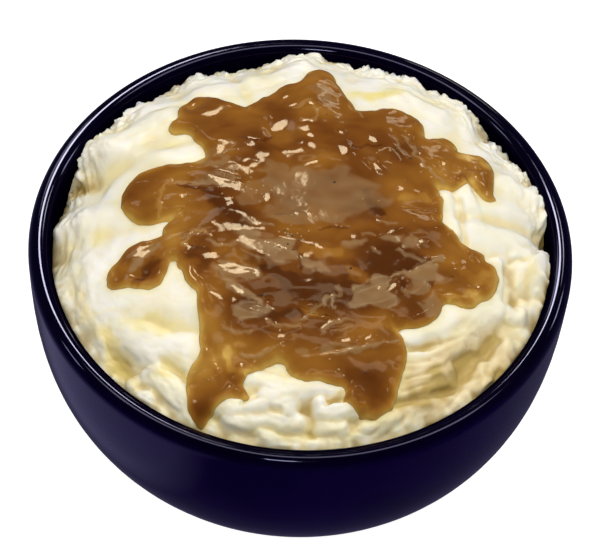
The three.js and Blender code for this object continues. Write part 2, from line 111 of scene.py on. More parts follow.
# Folds that the spoon left: the crest's path, half width, rise, and how soft the foot of its side is.
SWIPED_LEFT = (
    ((-56.4, 22, -51.5, 26.5, -43.9, 30.7, -36.3, 34.6), 5.8, 1.7, 1.5),
    ((-49.7, 10.4, -43.3, 14, -32.8, 18.3), 5.2, 1.1, 1.6),
    ((-56.1, 1.3, -56.5, -8.7, -52.8, -19.6), 6.2, 1, 1.6),
    ((-47.6, -29.8, -39.9, -29, -32.5, -29, -25.8, -30.2), 10, 2, 1.6),
)
FRONT_LEFT_LUMPS = (
    ((-43.9, -37.8, -35.1, -41.5, -27.5, -44), 5.2, 2, 0.9),
    ((-34.6, -47.9, -29.4, -52.2, -24.6, -57.4), 3.6, 2.2, 0.8),
    ((-38.8, -49.4, -34.7, -53.3), 3, 1.8, 0.8), ((-31.5, -55.5, -28.5, -58), 2, 1.2, 0.8),
    ((-51.6, -31, -46.8, -38.8), 3.2, 1.3, 1.1),
)
FRONT_LUMPS = (
    ((-13.5, -49.6, -4.5, -51.6, 4.5, -50.8, 11.5, -49.8), 2.6, 1.7, 0.8),
    ((-17.5, -55, -9, -55.6, -1, -55), 3.4, 2.6, 0.7),
    ((-14, -58.8, -4, -59.2, 2.6, -58.4), 2.6, 1.8, 0.7),
    ((7.5, -55.6, 12, -54.6, 16.5, -54), 3.2, 2.6, 0.7), ((7, -58.8, 12.5, -58.2), 2.4, 1.6, 0.8),
    ((18.5, -57.2, 25.6, -54.4), 2.8, 1.5, 0.9), ((-6.4, -62.3, 1.8, -62.6), 1.8, 1, 1),
)
FRONT_RIGHT_FAN = (
    ((28, -36.4, 33.5, -32.6, 38.5, -29.4, 41.5, -27.4), 2.8, 1.7, 0.8),
    ((34, -33, 42, -27.5, 48, -22.5, 51, -17), 6.5, 1.5, 1.2),
    ((27.5, -39.5, 36, -36.5, 44, -31.5), 2.6, 1.3, 1), ((27, -42.2, 35, -39.8, 41, -35.8), 2.2, 1.2, 1),
    ((26.5, -46, 33.5, -43.2, 38, -40), 2.6, 1.7, 0.9),
    ((25.4, -49.6, 33, -46.3, 39.5, -42.4), 2.6, 1.8, 0.9), ((26, -53, 34, -50), 2.6, 0.9, 1.2),
    ((31.5, -54, 41.6, -48.6, 49.5, -41.4, 56, -32.6), 4.2, 1.5, 1.2),
)
RIGHT_FOLDS = (
    ((50, -9.4, 52.2, -12.7, 52.2, -18.1, 50.2, -23.5), 2.1, 1.5, 1),
    ((54.4, -22.6, 56, -22.4), 3, 1.9, 1), ((59.8, -4, 60, -11.6), 5, 1.9, 1.2),
    ((47.8, 2.5, 56.5, 3.7), 10.6, 2.4, 1.5), ((37, 8.5, 38, 2, 39.4, -4), 2.6, 1.8, 0.9),
    ((42, 12.5, 43.6, 6, 45.2, 0), 3.2, 2.1, 0.9), ((51.5, 19.2, 59.4, 18.5), 3.8, 1, 1.5),
)
BACK_WAVES = (
    ((-16.5, 50.3, -3.3, 57), 4.2, 1.2, 1.5), ((-30.7, 44.7, -20.1, 47.3), 4.2, 1, 1.5),
    ((24.1, 47.1, 35, 41.4), 4, 1.2, 1.5), ((16.5, 59.3, 22.1, 57.7), 2.8, 1, 1.5),
    ((41.3, 44.6, 44.3, 37.6), 3, 1.2, 1.5),
)
FOLDS = SWIPED_LEFT + FRONT_LEFT_LUMPS + FRONT_LUMPS + FRONT_RIGHT_FAN + RIGHT_FOLDS + BACK_WAVES
FOLD_COVER = 3.5  # the folds run out this far under the gravy
FOLD_LEAN = 0.4  # a fold is steeper on its outer side and shallower on its inner side
FOLD_WARPS = ((0.8, 0.8, 6, 6, 71, 72), (0.35, 0.35, 2.3, 2.3, 73, 74))
# Furrows between the folds: the path, half width and depth.
FURROWS = (
    ((50, -28.5, 46, -35, 41, -40.5, 37.5, -44.5), 2.2, 2.3), ((28, -38.2, 35, -34.4), 1, 0.8),
    ((-44.8, -39.2, -40.8, -44.5, -37.6, -48.1), 3.6, 2), ((52.8, -10.5, 53.4, -18.8), 2, 1),
    ((53.1, -18.1, 54, -18.3), 2.2, 1.2), ((3.4, -54.5, 5.2, -60), 1.5, 1.6),
    ((8.5, -52.4, 13, -52), 1, 1.4), ((-13.5, -52.9, -8.5, -52.6), 0.9, 1),
    ((57.5, -2.2, 63.5, 6.4), 1.8, 1.2), ((56.4, -5.3, 56.9, -15.6), 1.6, 0.8),
    ((-58.3, 14.9, -55.5, 14.3), 2.2, 1.2), ((47.1, 43.8, 47.9, 38.6), 2, 1.4),
    ((-31.7, -45.1, -26.3, -48.5), 1.4, 0.8), ((-20.7, -54.5, -21.7, -56.9), 2.6, 1.4),
)
# Creases that are finer than the solid's: the path, half width and depth.
CREASES = (
    ((26.9, -37.7, 31.1, -37.4, 34.8, -35.7, 39.7, -33.3, 44.8, -30.5), 0.7, 0.5),
    ((27.2, -45.8, 30.8, -44.2, 36.9, -40.7, 41.3, -36, 43.8, -34), 0.7, 0.7),
    ((25.8, -41.7, 29.7, -41.2, 33.1, -39.7), 0.6, 0.35),
    ((24.4, -53.4, 26.3, -51.1, 33.1, -48.9, 36.1, -46.5, 38.3, -44.7), 0.7, 0.7),
    ((26.8, -48.8, 30.2, -47.4, 33.3, -45.8, 36.5, -43.3), 0.6, 0.45),
    ((8.4, -54.3, 10.5, -53, 13.2, -52.3), 0.7, 1), ((-4.7, -56, -2.6, -56.2), 0.6, 0.6),
    ((-12, -55.7, -10.6, -54.7, -8.3, -53.7), 0.6, 0.6),
    ((-18.3, -57.7, -15.7, -60.1, -12.2, -61.3, -7.9, -61.5), 0.8, 0.5),
    ((13.6, -59.6, 15.2, -57.2, 17.3, -57, 20.2, -56.1), 0.7, 0.5),
    ((-31.6, -45.7, -29.6, -46.3, -26.6, -47.2), 0.6, 0.6),
    ((-39.1, -50, -37, -48.9, -33.8, -50.7, -29.8, -55), 0.7, 0.6),
    ((40.1, 7.5, 40.5, 4.1, 40.7, -1.6, 41.8, -6.3), 0.8, 0.7),
    ((63.9, 8.2, 60.5, -2.6, 57.6, -6.5, 53.1, -7.9), 0.8, 0.8),
    ((51.8, -9.6, 52.1, -14.4, 51.6, -19.3), 0.7, 0.6),
)
CREASE_WANDER = 0.3  # share of the grain's warp that the creases follow
# Lumps and grain that are finer than the solid's: size, rise where smooth, added where rough, seed.
GRAIN = ((6.2, 0.22, 0.2, 31), (2.9, 0.06, 0.1, 41), (1.2, 0.02, 0.04, 51))
GRAIN_WARPS = ((1.5, 1.5, 5.3, 5.3, 21, 22),)
STEEP_RANGE = (0.8, 0.92)  # share of the radius: the grain turns down the mound's side
COVER_RANGE = (-0.5, 1.5)  # depth inside the gravy's outline: the fine relief runs out

# Crumbs with creases between them: cells round the bowl, size down it, rise at the front and back, seed.
CRUMBS = ((46, 4.4, 0.38, 0.75, 54), (96, 2.3, 0.13, 0.8, 55), (210, 1.1, 0.03, 0.4, 56))
# Where they start at the back and at the front, and where they stand in full, as shares of the radius.
CRUMBS_FROM_BACK = 0.84
CRUMBS_FROM_FRONT = 0.66
CRUMBS_FULL = 0.97
CREASE_ROUND = 0.12  # how rounded the creases between the crumbs are
CRUMB_LOWERING = 0.6
CRUMB_WANDER = 0.5  # how far waves of twice their size shift them, in crumbs
CRUMB_PATCHES = (0.65, 0.7, 13, 13, 58)
CRUMB_LEAST = 0.25  # least share of the crumbs' rise in a patch
CRUMBS_AT_WALL = 1.3  # how much higher still the crumbs stand against the wall at the back
WALL_RANGE = (0.93, 0.99)  # share of the radius: towards the wall
FRONT_RANGE = (-0.2, 0.6)  # share of the radius along -Y: towards the front
BACK_RANGE = (-0.2, 0.4)  # share of the radius along +Y: towards the back

# Butter and gravy stains on the potato, and yellow painted shade along a ledge and in a valley at the front
# left: place, strength.
STAIN_AND_SHADE_TINTS = (
    (17, 45.5, 9, 3, 14, 1), (-14, 50, 5, 8, -20, 0.28), (-20, 40, 5, 5, 0, 0.25),
    (31, 47, 6, 3.5, -25, 0.22), (52, 14, 5, 3, 10, 0.12), (-51, -7, 2.6, 3.6, 5, 0.5),
    (-48, 15.5, 6, 4, 25, 0.3), (-54, 28, 6, 6, 0, 0.15), (-34, 21.5, 7, 2.5, 12, 0.4),
    (-39, -6.5, 3, 2, 0, 0.3), (-35, -35, 9, 2.6, -8, 0.5), (-44, -41, 3, 9, 38, 0.55),
    (-30, -46, 5, 3, -20, 0.35), (-4, -47.5, 6, 2.6, 5, 0.35), (45, -25.5, 6, 1.6, 30, 0.15),
    (-30, -50, 6, 5, 0, 0.25), (54, -20, 3, 7, -12, 0.1), (-57, -16, 3, 10, 20, 0.2),
    (4, -60, 14, 2.5, 0, 0.3),
)
# Painted shade where the potato lies in shade between its folds: place, strength.
SHADES = (
    (43, -38, 15, 7.5, 42, 0.72), (30, -47, 10, 6, 34, 0.6), (58, -14, 4, 10, -12, 0.16),
    (44, -36.5, 10, 1.6, 53, 0.7), (33, -47, 10, 2, 34, 0.22), (51, -38, 3, 9, -38, 0.3),
    (28, -52, 8, 2.2, 20, 0.3), (-43, -42, 2.4, 9, 36, 0.6), (-53, -28, 1.6, 8, 25, 0.3),
    (53.5, -14, 1.3, 6, -4, 0.35), (32, -36.6, 5, 0.8, 28, 0.45), (-29.5, -47.5, 3.4, 0.8, -35, 0.3),
    (10.7, -52.3, 2.8, 0.7, 5, 0.7), (-11, -52.9, 3, 0.6, 0, 0.4), (-40, 29, 14, 0.9, 25, 0.12),
    (-46, -30.5, 9, 0.9, 0, 0.15), (-58, 15, 3, 1.4, 0, 0.4), (58, -12, 1.6, 6, -8, 0.3),
    (20, -57.5, 7, 1.4, 12, 0.3), (-60, -8, 2, 8, 0, 0.25), (-33, -32, 7, 5, 0, 0.18),
    (-41, 21, 8, 5, 25, 0.14), (33, -51, 7, 3.5, 30, 0.3),
)
TINT_WARPS = ((1.8, 1.8, 5, 5, 97, 98),)
TINT_PATCHES = (0.85, 0.3, 3, 3, 99)
GRAVY_STAIN = 0.3  # how strongly the potato is tinted along the gravy
STAIN_RANGE = (0.3, 2.4)  # distance from the gravy's outline: this tint fades
# Painted shade in the potato's hollows: rounds of smoothing that level them, the depth that shows in full,
# and how dark the painted shade gets.
PAINTED_HOLLOW_SHADES = ((6, 0.3, 0.3), (25, 0.8, 0.6), (90, 2, 1))

# The gravy is a pool with runs: from, to, and the half width at either end.
POOL = (2, 0, 3, 1, 32, 32)
RUNS = (
    (1, 30, 2.5, 49.2, 15, 4.3), (-8, 33, -5, 40.5, 9, 5.5), (-14, 20, -27.8, 33.5, 12, 6.9),
    (-28, 30, -34.4, 28, 5, 2.6), (-28, 34, -30, 38.2, 5, 3.4), (14, 24, 22.4, 30.4, 13, 8.3),
    (-22, 6, -38, 4.2, 8.5, 9.1), (-28, -6, -31, -8, 5.5, 3.8), (-29, -12, -38.2, -18.6, 5, 7.4),
    (-40, -17.6, -43.6, -20.2, 6, 3.8), (-43.6, -20, -44.6, -22.8, 3.2, 2.6),
    (-19, -17, -20, -18.5, 9.6, 9.6), (-16, -26, -15.5, -42, 9, 7), (-15.5, -42, -19.6, -50.4, 7, 6.1),
    (-19.6, -50.4, -21.4, -54.6, 6.1, 3.2), (-21.4, -54.6, -22, -57.4, 3.2, 1.6),
    (-14, -51.2, -11.4, -53.8, 2.8, 1.1), (-12, -39.5, -4, -36, 8.3, 8.2), (4, -40.5, 18, -41, 8.6, 9.2),
    (18, -41, 19.4, -49.8, 9.2, 5.9), (16, -52, 17, -55.2, 3, 1.5), (14, -24, 27.2, -24.5, 12, 9),
    (24, -15, 42.8, -14.8, 14.2, 7.4), (37, -19, 41.2, -21.8, 5, 3.4), (30, -5, 35, -9, 7.5, 6.2),
    (22, 3, 28, 4, 13, 7.8), (24, 19, 36, 20, 12, 8.1), (34, 24, 36.4, 28.4, 6, 3.4),
    (36, 20, 43.7, 22.2, 7.8, 5.2), (45.4, 19.5, 47.2, 10.2, 4, 1.9), (38.4, 15.5, 38.7, 13, 3.4, 2.3),
)
# Where the potato stands clear between the runs.
NOTCHES = (
    (-30.8, -25.5, -31.6, -17.9, 2.6, 0.9), (-3.4, -50, -3.2, -46.2, 5, 1.2),
    (-10.8, -50.3, -5, -48.2, 0.9, 1.6), (-34.5, 17.5, -31.6, 18, 3.6, 3.4),
    (-41, -8.9, -37.8, -7.2, 1.5, 1.1), (48.2, -8, 49.6, -8.6, 1.6, 1.8),
)
BORDER_WANDER = ((3.3, 0.4, 81), (1.6, 0.2, 82))  # size, shift, seed
CUT_SHARE = (0.12, 0.88)  # where the border may cut an edge of the lattice, as shares of its length

# Ripples of the gravy: rise, size along X and Y, seed.
RIPPLES = ((0.5, 12, 10, 61), (0.2, 5.5, 4.6, 62), (0.035, 2.2, 1.8, 63))
RIPPLES_AT_BORDER = 0.35  # share of their rise that they have at the border
RIPPLES_FULL = 4  # how far inside the outline they rise in full
POOL_CALM = 0.8  # how much lower they are in the pool
# Slopes, in mm for each mm towards +X and +Y, that the level and the shining places have.
FLAT_LEAN = (0, -0.019)
SHINE_LEAN = (0.095, -0.025)
LEAN_CHANGE = 0.0018  # change of these slopes with each mm away from the middle
SHINE_DOME = 0.018
# Level stretches of the gravy, apart from the pool: places.
FLATS = (
    (-8, -15, 8.5, 3.6, -12), (-14, -21.5, 5, 2.4, 0), (19, -26, 6, 3.2, 25), (29, -20, 3.4, 4.6, -20),
    (-39.5, -16, 4.5, 1.7, 30), (-9, -32, 4.5, 2, 0), (-13, 2, 4, 4.5, -40),
)
# Small places where the gravy's skin is level enough to shine.
SHINES = (
    (-30.9, 37, 3.1, 1.5, 75), (-26, 32, 4.4, 2.1, 20), (-7.5, 27, 3.4, 2.1, 55),
    (-6.6, 38.5, 2.6, 1.3, 60), (-4.3, 35, 2, 1.3, 20), (1.3, 35.4, 1.7, 1.5, 0), (0.7, 23, 1.7, 1.5, 90),
    (1.2, 19.4, 1.4, 1.3, 0), (-22.5, 17, 2.3, 1.5, 40), (-27, 14.5, 2.6, 2, 50),
    (1.8, 13.8, 2.9, 1.3, 5), (-13.3, 11.4, 1.3, 1.1, 0), (-23, 7.5, 5.9, 1.4, -12),
    (-27.4, 7.6, 2.3, 0.8, -30), (-9.2, 1.6, 1.7, 1.8, 0), (-30.8, -4, 1.6, 1, -60),
    (-39.6, -14, 4.9, 0.8, 28), (-46.3, -20.5, 1.8, 1, -70), (-27, -10.6, 3.9, 0.8, 10),
    (-20.5, -28.5, 3.4, 0.8, -45), (-14, -21.8, 3.6, 1.1, 0), (-14.8, -27.5, 2.6, 1.3, -60),
    (-21.2, -42.5, 1.6, 0.8, 90), (-18.4, -47, 3.1, 0.7, -75), (-14, -38.8, 1.3, 1.1, 0),
    (-13, -41.6, 1.3, 1.1, 0), (-3.3, -39.4, 2.6, 1.4, -20), (12.6, -39, 2.9, 1.3, -10),
    (17.8, -37.6, 2, 1.1, 35), (13.5, -40.9, 9.1, 0.8, 12), (24.8, -34.5, 2.9, 1, -60),
    (23.4, -22.8, 2.6, 1.5, 30), (9.3, 18.7, 2.6, 2.4, -30), (17, 23.4, 2.6, 2.1, -10),
    (8.7, 25, 1.7, 1.1, 0), (24, 25.5, 2.9, 1.4, -40), (28.5, 22.5, 4.4, 1, -50),
    (26.3, 27.2, 1.6, 1.4, 0), (18.3, 14, 3.4, 1.4, -40), (35.6, 18.8, 1.7, 1.7, 0),
    (44, 20.3, 1.7, 1.3, -60), (35.9, 14.6, 1.8, 1.3, -40), (34.2, 31, 1.7, 0.8, 20),
    (40.2, 14, 2.1, 0.7, 80), (33, 5.3, 1, 1.1, 0), (34.1, 0.5, 1.8, 0.8, -70),
    (37.3, -2.9, 1.6, 0.7, -40), (41.6, -8.7, 3.1, 1.1, -45), (44.8, -18.8, 2.1, 1.3, 10),
    (13, -9.6, 2.1, 1.4, 60), (22.5, -7, 2.9, 0.8, 30), (30, -8.5, 2.1, 1.1, -20),
)
# Pale patches of painted reflection of the lights above, on the gravy: place, and how pale.
PAINTED_REFLECTIONS = (
    (5, 4, 15.5, 8.6, 0, 0.5), (2, -3, 11, 4, 5, 0.45), (-7.5, 8, 5, 4.5, -40, 0.5),
    (-9, -14.5, 9.5, 4.4, -14, 0.8), (2.5, -18.6, 2.6, 2.2, 0, 0.7), (-14.5, -21.5, 5.4, 2.6, -8, 0.7),
    (-10.5, -32, 5, 2.2, 5, 0.5), (19, -25.6, 6.2, 3.6, 28, 0.8), (30, -19.5, 3.6, 5, -25, 0.75),
    (33.5, -27, 2, 4, -15, 0.6), (35, -13.5, 2.5, 1.6, 40, 0.7), (8.6, -27.3, 1, 1.8, -20, 0.6),
    (-13, 2, 4, 5, -40, 0.35), (-23, 8, 5, 2, -8, 0.3), (-23, 16, 4, 3, 20, 0.3),
    (-40, -15.8, 3.6, 1.3, 30, 0.5), (2.6, 42.5, 2.2, 3.4, -20, 0.3), (13.5, -40.6, 7.4, 0.7, 12, 0.6),
    (-27.5, -10.4, 3.6, 0.6, 12, 0.5),
)
REFLECTION_RANGE = (0.3, 0.6)  # share of a place: its painted reflection sets in
REFLECTION_PATCHES = (0.8, 0.35, 5, 3, 90)
REFLECTION_WARPS = ((3.2, 2.4, 6.5, 4.5, 93, 95), (1.1, 0.8, 2.4, 1.8, 94, 96))
# Streaks in the gravy, darker ones from the pouring and pale ones painted as the sheen of ridges that catch
# the light: path, half width, how much darker (below 0, paler), paleness of the painted sheen, rise.
STREAKS = (
    ((-34.4, 7.8, -36.4, 4.5, -36.8, 0.3, -36, -3.7), 0.6, -0.22, 0.15, 0.12),
    ((-32.2, 5.8, -27, 4.2, -22.8, 2.4), 0.6, 0.3, 0, -0.1),
    ((-23.2, 1.4, -18.9, -2.5, -15.6, -6.9), 1.9, 0.3, 0, 0),
    ((-27.7, 6.6, -22.5, 5.8, -18.5, 6.4), 1.1, 0, 0.7, 0),
    ((-29, -14.3, -27.3, -10.8, -24.6, -9.7, -22.2, -12.1), 0.6, -0.25, 0.3, 0.15),
    ((-27.4, -15.9, -23.9, -16.6, -23.5, -20.6), 2.2, 0.22, 0, 0),
    ((-23.4, -12.7, -20.3, -14.3, -16.1, -13.3), 0.5, -0.1, 0.5, 0.1),
    ((-35.6, -13.9, -38.4, -16.2, -41.3, -19.9), 1.1, 0, 0.7, 0),
    ((-35.2, -18.3, -37.8, -22, -39.6, -24.5), 1.4, 0.25, 0, 0),
    ((-9.2, -20.5, -4.2, -22.5, -0.6, -25.1), 1.4, 0.3, 0, 0),
    ((-3.5, 33.6, -0.5, 36.9, 2.3, 33.3, 0.9, 28.2, -2.3, 29.5), 0.5, -0.2, 0.35, 0.12),
    ((3.6, 41.5, 5.3, 37.1), 1.4, 0, 0.5, 0),
    ((4.8, 47.3, 9.2, 42, 12.5, 36.1, 13.9, 32.5), 0.5, -0.2, 0.5, 0.15),
    ((16.5, 35.6, 26.1, 37.4, 29.4, 34.8, 30.4, 31.6), 0.5, -0.15, 0.3, 0.1),
    ((33.6, 28, 36.3, 27.3, 39, 25.9), 0.5, -0.15, 0.4, 0.12),
    ((11.6, 19.5, 15.7, 21.3, 18.9, 21.5), 0.5, 0.2, 0, -0.1),
    ((22.5, 24.9, 24.6, 21.1, 26.7, 19.4), 0.5, -0.05, 0.6, 0.15),
    ((25.1, 26.3, 27.8, 21.5, 31, 16.3, 35.7, 11.8), 0.5, -0.1, 0.7, 0.2),
    ((25.4, 4.6, 30.5, 5.3), 1.4, -0.2, 0, 0), ((15.7, 5, 16.8, 1.5, 19.4, -1), 1.2, 0.3, 0, 0),
    ((11.5, -12.4, 14.4, -11.1), 1.4, -0.1, 0.6, 0), ((21.1, -9.6, 24.4, -8.4), 1.2, -0.1, 0.55, 0),
    ((26.2, -10.2, 29.5, -9), 1.4, -0.1, 0.6, 0), ((15.6, -8.8, 18.1, -8.2), 0.6, -0.05, 0.5, 0.1),
    ((17.7, -13.1, 19.8, -14), 0.6, -0.05, 0.45, 0.1),
    ((24.3, -12.7, 27.3, -13.6, 30.1, -14.3), 0.6, -0.1, 0.5, 0.12),
    ((13, -19.9, 15.6, -21.9), 1.9, -0.35, 0, 0), ((0.8, -14.6, 5.4, -16, 9.8, -15), 1.6, -0.2, 0, 0),
    ((17.8, -16.3, 22.9, -17.4, 30.9, -14.1), 1.8, 0.3, 0, 0),
    ((-2, -25.8, 3.4, -26.5, 10.3, -25.9), 2.2, 0.25, 0, 0), ((0, -17, 0.9, -19.9), 0.8, 0.25, 0, -0.1),
    ((2.6, -19.2, 6.6, -20.6), 0.9, -0.1, 0.5, 0),
    ((20.4, -24, 23.5, -19.9, 28.4, -17.5, 33.9, -13.5, 35.9, -11.8), 0.5, -0.1, 0.75, 0.2),
    ((25.5, -22.1, 29, -19.7, 32.5, -20.1), 1.1, 0.2, 0, -0.1),
    ((-19.8, -20.7, -16.3, -25.8, -11.6, -28.7, -8.6, -30), 0.9, 0, 0.75, 0.1),
    ((-14.7, -33.6, -11.3, -33.8, -8, -32.6), 1.2, 0, 0.65, 0),
    ((0.9, -34.5, 4.6, -30.8, 8.2, -27.7, 9.3, -30.9), 0.5, -0.05, 0.7, 0.15),
    ((6.2, -37.2, 9.2, -34.3, 13.1, -33.1), 0.5, -0.1, 0.5, 0.15),
    ((9.4, -37.1, 13.7, -34.9), 0.5, -0.1, 0.45, 0.12),
    ((-17.4, -37.2, -14.4, -38.9, -10.5, -38.1), 0.5, -0.05, 0.5, 0.12),
    ((-7.3, -35.7, -3.3, -36.6, 1, -36.1), 0.5, -0.1, 0.45, 0.12),
    ((-8.1, -38.1, -3.7, -38.4, 0.6, -37.4), 0.5, 0.15, 0, -0.08),
    ((6.2, -41.5, 10.6, -42.5, 15.9, -41.4, 20.7, -38.5, 24.6, -37.4), 0.5, -0.05, 0.6, 0.18),
    ((-13.3, -44.1, -8.7, -44, -4.4, -41.9), 0.5, -0.1, 0.6, 0.15),
    ((1.4, -42.3, 2.9, -43.2), 0.8, -0.1, 0.4, 0),
    ((-16.7, -42.9, -14.7, -47.6, -11.2, -49), 1.4, -0.25, 0, 0),
    ((14.3, -47.3, 19.3, -49, 22.3, -50.7), 2.4, 0.1, 0, 0), ((-5.2, -34.1, 0.8, -32.1), 1.4, 0.2, 0, 0),
    ((-14.8, -6.8, -11, -8.6, -7.5, -7.8), 0.8, 0, 0.45, 0.08),
    ((-6.7, -3.9, -2.8, -3, 0.7, -1.8), 0.5, 0.2, 0, -0.1),
    ((4, -7.9, 7.5, -6.6, 11, -6.9), 0.5, 0.2, 0, -0.1), ((19.5, -4.2, 24, -4.4), 0.5, -0.05, 0.5, 0.08),
    ((-27.2, 13.9, -23.5, 11.6, -20.5, 13.7), 1.4, -0.05, 0.5, 0.05),
    ((-19.3, 10.2, -17.8, 10.9), 1.1, -0.05, 0.45, 0.05),
    ((-15.9, 21.1, -11.6, 19.7, -9.2, 22.4), 0.5, 0.2, 0, -0.1),
    ((-11.6, 18.2, -6.9, 17.7), 1.6, 0.12, 0, 0), ((-1.9, 21.7, 6, 18.8, 10.5, 20.9), 2.2, 0.08, 0, 0),
    ((40, 23.4, 44.9, 24.7, 48.1, 21.4), 1.4, -0.25, 0, 0),
    ((38.9, 13.2, 41.5, 14.8, 43.7, 12.6), 1.1, 0.2, 0, 0), ((35.8, 1.3, 36.8, -2.3), 0.8, -0.2, 0, 0),
    ((40.6, -15.9, 44.7, -17, 48.4, -13.5), 1.6, -0.15, 0, 0),
    ((36.7, -23.7, 40.7, -22.1, 44.3, -20.5), 0.8, -0.25, 0, 0),
)
STREAK_RANGE = (0.4, 1.3)  # half widths from the path: a streak fades
STREAK_PATCHES = (1, 0.5, 3, 3, 66)
STREAKS_FULL = 1.5  # how far inside the outline they rise in full
STREAK_WARPS = ((0.9, 0.8, 3.2, 2.4, 64, 65), (0.45, 0.35, 1.4, 1.1, 67, 68))
# Shades of the gravy: middle, radius, and how much darker or paler (below 0) than its thickness makes it.
TONES = (
    (-3, -28, 10, 0.34), (12, -25, 7, 0.34), (22, -16, 7, 0.42), (29, -29, 4.5, 0.22), (-12, -33, 6, 0.2),
    (18, -49, 7, 0.16), (24, 20, 6, 0.18), (10, 24, 6, 0.12), (-8, 33, 6, 0.12), (-22, 4, 5, 0.26),
    (-43.5, 5, 4, 0.12), (-27, -13, 4, 0.16), (-37, -22, 3.5, 0.18), (-18, -7, 5, 0.2),
    (-22, 24, 6, 0.08), (-14, -50, 2.5, 0.15), (-22, -57, 3, 0.22), (30, -9, 6, 0.14), (12, -33, 6, 0.16),
    (-12, 16, 7, 0.08), (2, 33, 4.5, -0.24), (0, 48, 6, -0.2), (4, 17, 4.5, -0.22), (44, 21, 6, -0.14),
    (47, 12, 4, -0.05), (34, 16, 5, -0.25), (38, 27, 4, -0.2), (24, 8, 5, -0.16), (-34, 5, 4.5, -0.14),
    (-31, -3, 4.5, -0.16), (-32, -12, 3, -0.26), (8, -17, 5.5, -0.2), (5, -9, 6, -0.14),
    (36, -12, 4, -0.16), (47, -16, 4, -0.2), (44, -22, 4, -0.12), (-15, -42, 4.5, -0.26),
    (-5, -41, 5, -0.18), (-21, -48, 5.5, -0.3), (-21, -36, 4, -0.2), (16, -37, 5, -0.12),
    (-34, 29, 4, -0.12),
)
CLOUD_WARPS = ((2.2, 2.2, 6, 6, 88, 89),)
BROAD_CLOUDS = (0, 0.08, 9, 7.5, 91)
FINE_CLOUDS = (0, 0.09, 5.5, 3.4, 92)
# How dark the gravy looks, from 0 to 1: at its thinnest, added at its thickest, and all over.
DEPTH_THIN = 0.2
DEPTH_THICK = 0.6
GRAVY_DARKER = 0.05
THICKEST = 4.5  # from this thickness on it looks no darker
# Where the border looks paler: how much, and from where to where inside the outline it fades.
PALE_BORDERS = ((0.15, 0.3, 2.4), (0.12, 0, 0.9))

# Clusters of bubbles: middle, spread, how many.
FROTH = (
    ((-14, 4.5), (3.2, 2.2), 26), ((-19.5, 7.5), (2.6, 1), 9), ((-4, -10.5), (2.8, 2.6), 16),
    ((-24, 16), (2.2, 1.5), 5), ((22, 12), (8, 5), 7), ((-22, -48), (2, 4), 6), ((14, -46), (8, 4), 5),
    ((40, 20), (4, 4), 5),
)
BUBBLE_RADII = (0.2, 0.5)
# Height of a bubble and of a fleck, and how deep they sit, as shares of the radius.
BUBBLE_HEIGHT = 0.65
BUBBLE_SUNK = 0.2
FLECK_HEIGHT = 0.5
FLECK_SUNK = 0.15
FLECK_OUTLINE = (0.6, 1.25)  # reach of a fleck's corners, from and to, as shares of its radius
# Cracked pepper: place and radius.
FLECKS = (
    (26.8, 18.8, 0.45), (-17, 21.3, 0.35), (-8.7, -28.3, 0.5), (12.6, -19.4, 0.45), (7.5, 8, 0.4),
    (-4.4, -9.3, 0.35), (-2.4, -11.2, 0.45), (-3.2, -13.6, 0.4), (-1.8, -15.2, 0.35), (21.9, 17.3, 0.3),
    (4.6, 31.5, 0.3), (-29, 24.5, 0.3), (17.5, -46.5, 0.35), (-13.5, -36, 0.3), (38, -17.5, 0.3),
    (-0.6, -12.4, 0.3), (-5.2, -14.6, 0.3),
)
FLECK_SIDES = 7

HASH_FACTORS = (374761393, 668265263, 1442695041, 1274126177)
HASH_TOP = 0xFFFFFFFF


def smoothstep(value, low, high):
    t = np.clip((value - low) / (high - low), 0, 1)
    return t * t * (3 - 2 * t)


def near_stretch(x, y, from_x, from_y, to_x, to_y):
    """Distance to a straight stretch, the way there from its nearest point, and how far along that lies."""
    dx, dy = to_x - from_x, to_y - from_y
    along = np.clip(((x - from_x) * dx + (y - from_y) * dy) / (dx * dx + dy * dy), 0, 1)
    way_x, way_y = x - from_x - along * dx, y - from_y - along * dy
    return np.hypot(way_x, way_y), way_x, way_y, along


def near_path(x, y, path):
    """As near_stretch, for the nearest stretch of a path."""
    nearest = np.full((4, len(x)), np.inf)
    for start in range(0, len(path) - 2, 2):
        stretch = near_stretch(x, y, *path[start:start + 4])
        nearest = np.where(stretch[0] < nearest[0], stretch, nearest)
    return nearest


def cell_value(i, j, seed):
    """Repeatable random number from 0 to 1 for a lattice cell."""
    i, j = (np.asarray(n, np.int64).astype(np.uint32) for n in (i, j))
    by_i, by_j, by_seed, by_mix = HASH_FACTORS
    h = i * np.uint32(by_i) + j * np.uint32(by_j) + np.uint32(seed * by_seed & HASH_TOP)
    h = (h ^ (h >> np.uint32(13))) * np.uint32(by_mix)
    return (h ^ (h >> np.uint32(16))) / HASH_TOP


def between_corners(corner, u, v):
    """Value inside a cell, from those that its corners have."""
    low = corner(0, 0) * (1 - u) + corner(1, 0) * u
    high = corner(0, 1) * (1 - u) + corner(1, 1) * u
    return low * (1 - v) + high * v


def noise(x, y, seed):
    """Smooth noise from -1 to 1 with cells of size 1."""
    i, j = np.floor(x), np.floor(y)

    def corner(di, dj):
        return cell_value(i + di, j + dj, seed)

    return 2 * between_corners(corner, smoothstep(x - i, 0, 1), smoothstep(y - j, 0, 1)) - 1


def swell(x, y, seed, around=None):
    """Noise from about -1 to 1 with cells of size 1, each corner with its own slope.

    Where around is given, x closes on itself after that many cells.
    """
    i, j = np.floor(x), np.floor(y)
    u, v = x - i, y - j

    def corner(di, dj):
        column = i + di if around is None else np.mod(i + di, around)
        turn = 2 * np.pi * cell_value(column, j + dj, seed)
        return np.cos(turn) * (u - di) + np.sin(turn) * (v - dj)

    def eased(t):
        return t**3 * (t * (6 * t - 15) + 10)

    return 1.5 * between_corners(corner, eased(u), eased(v))


def patchy(x, y, patches):
    mean, swing, size_x, size_y, seed = patches
    return mean + swing * swell(x / size_x, y / size_y, seed)


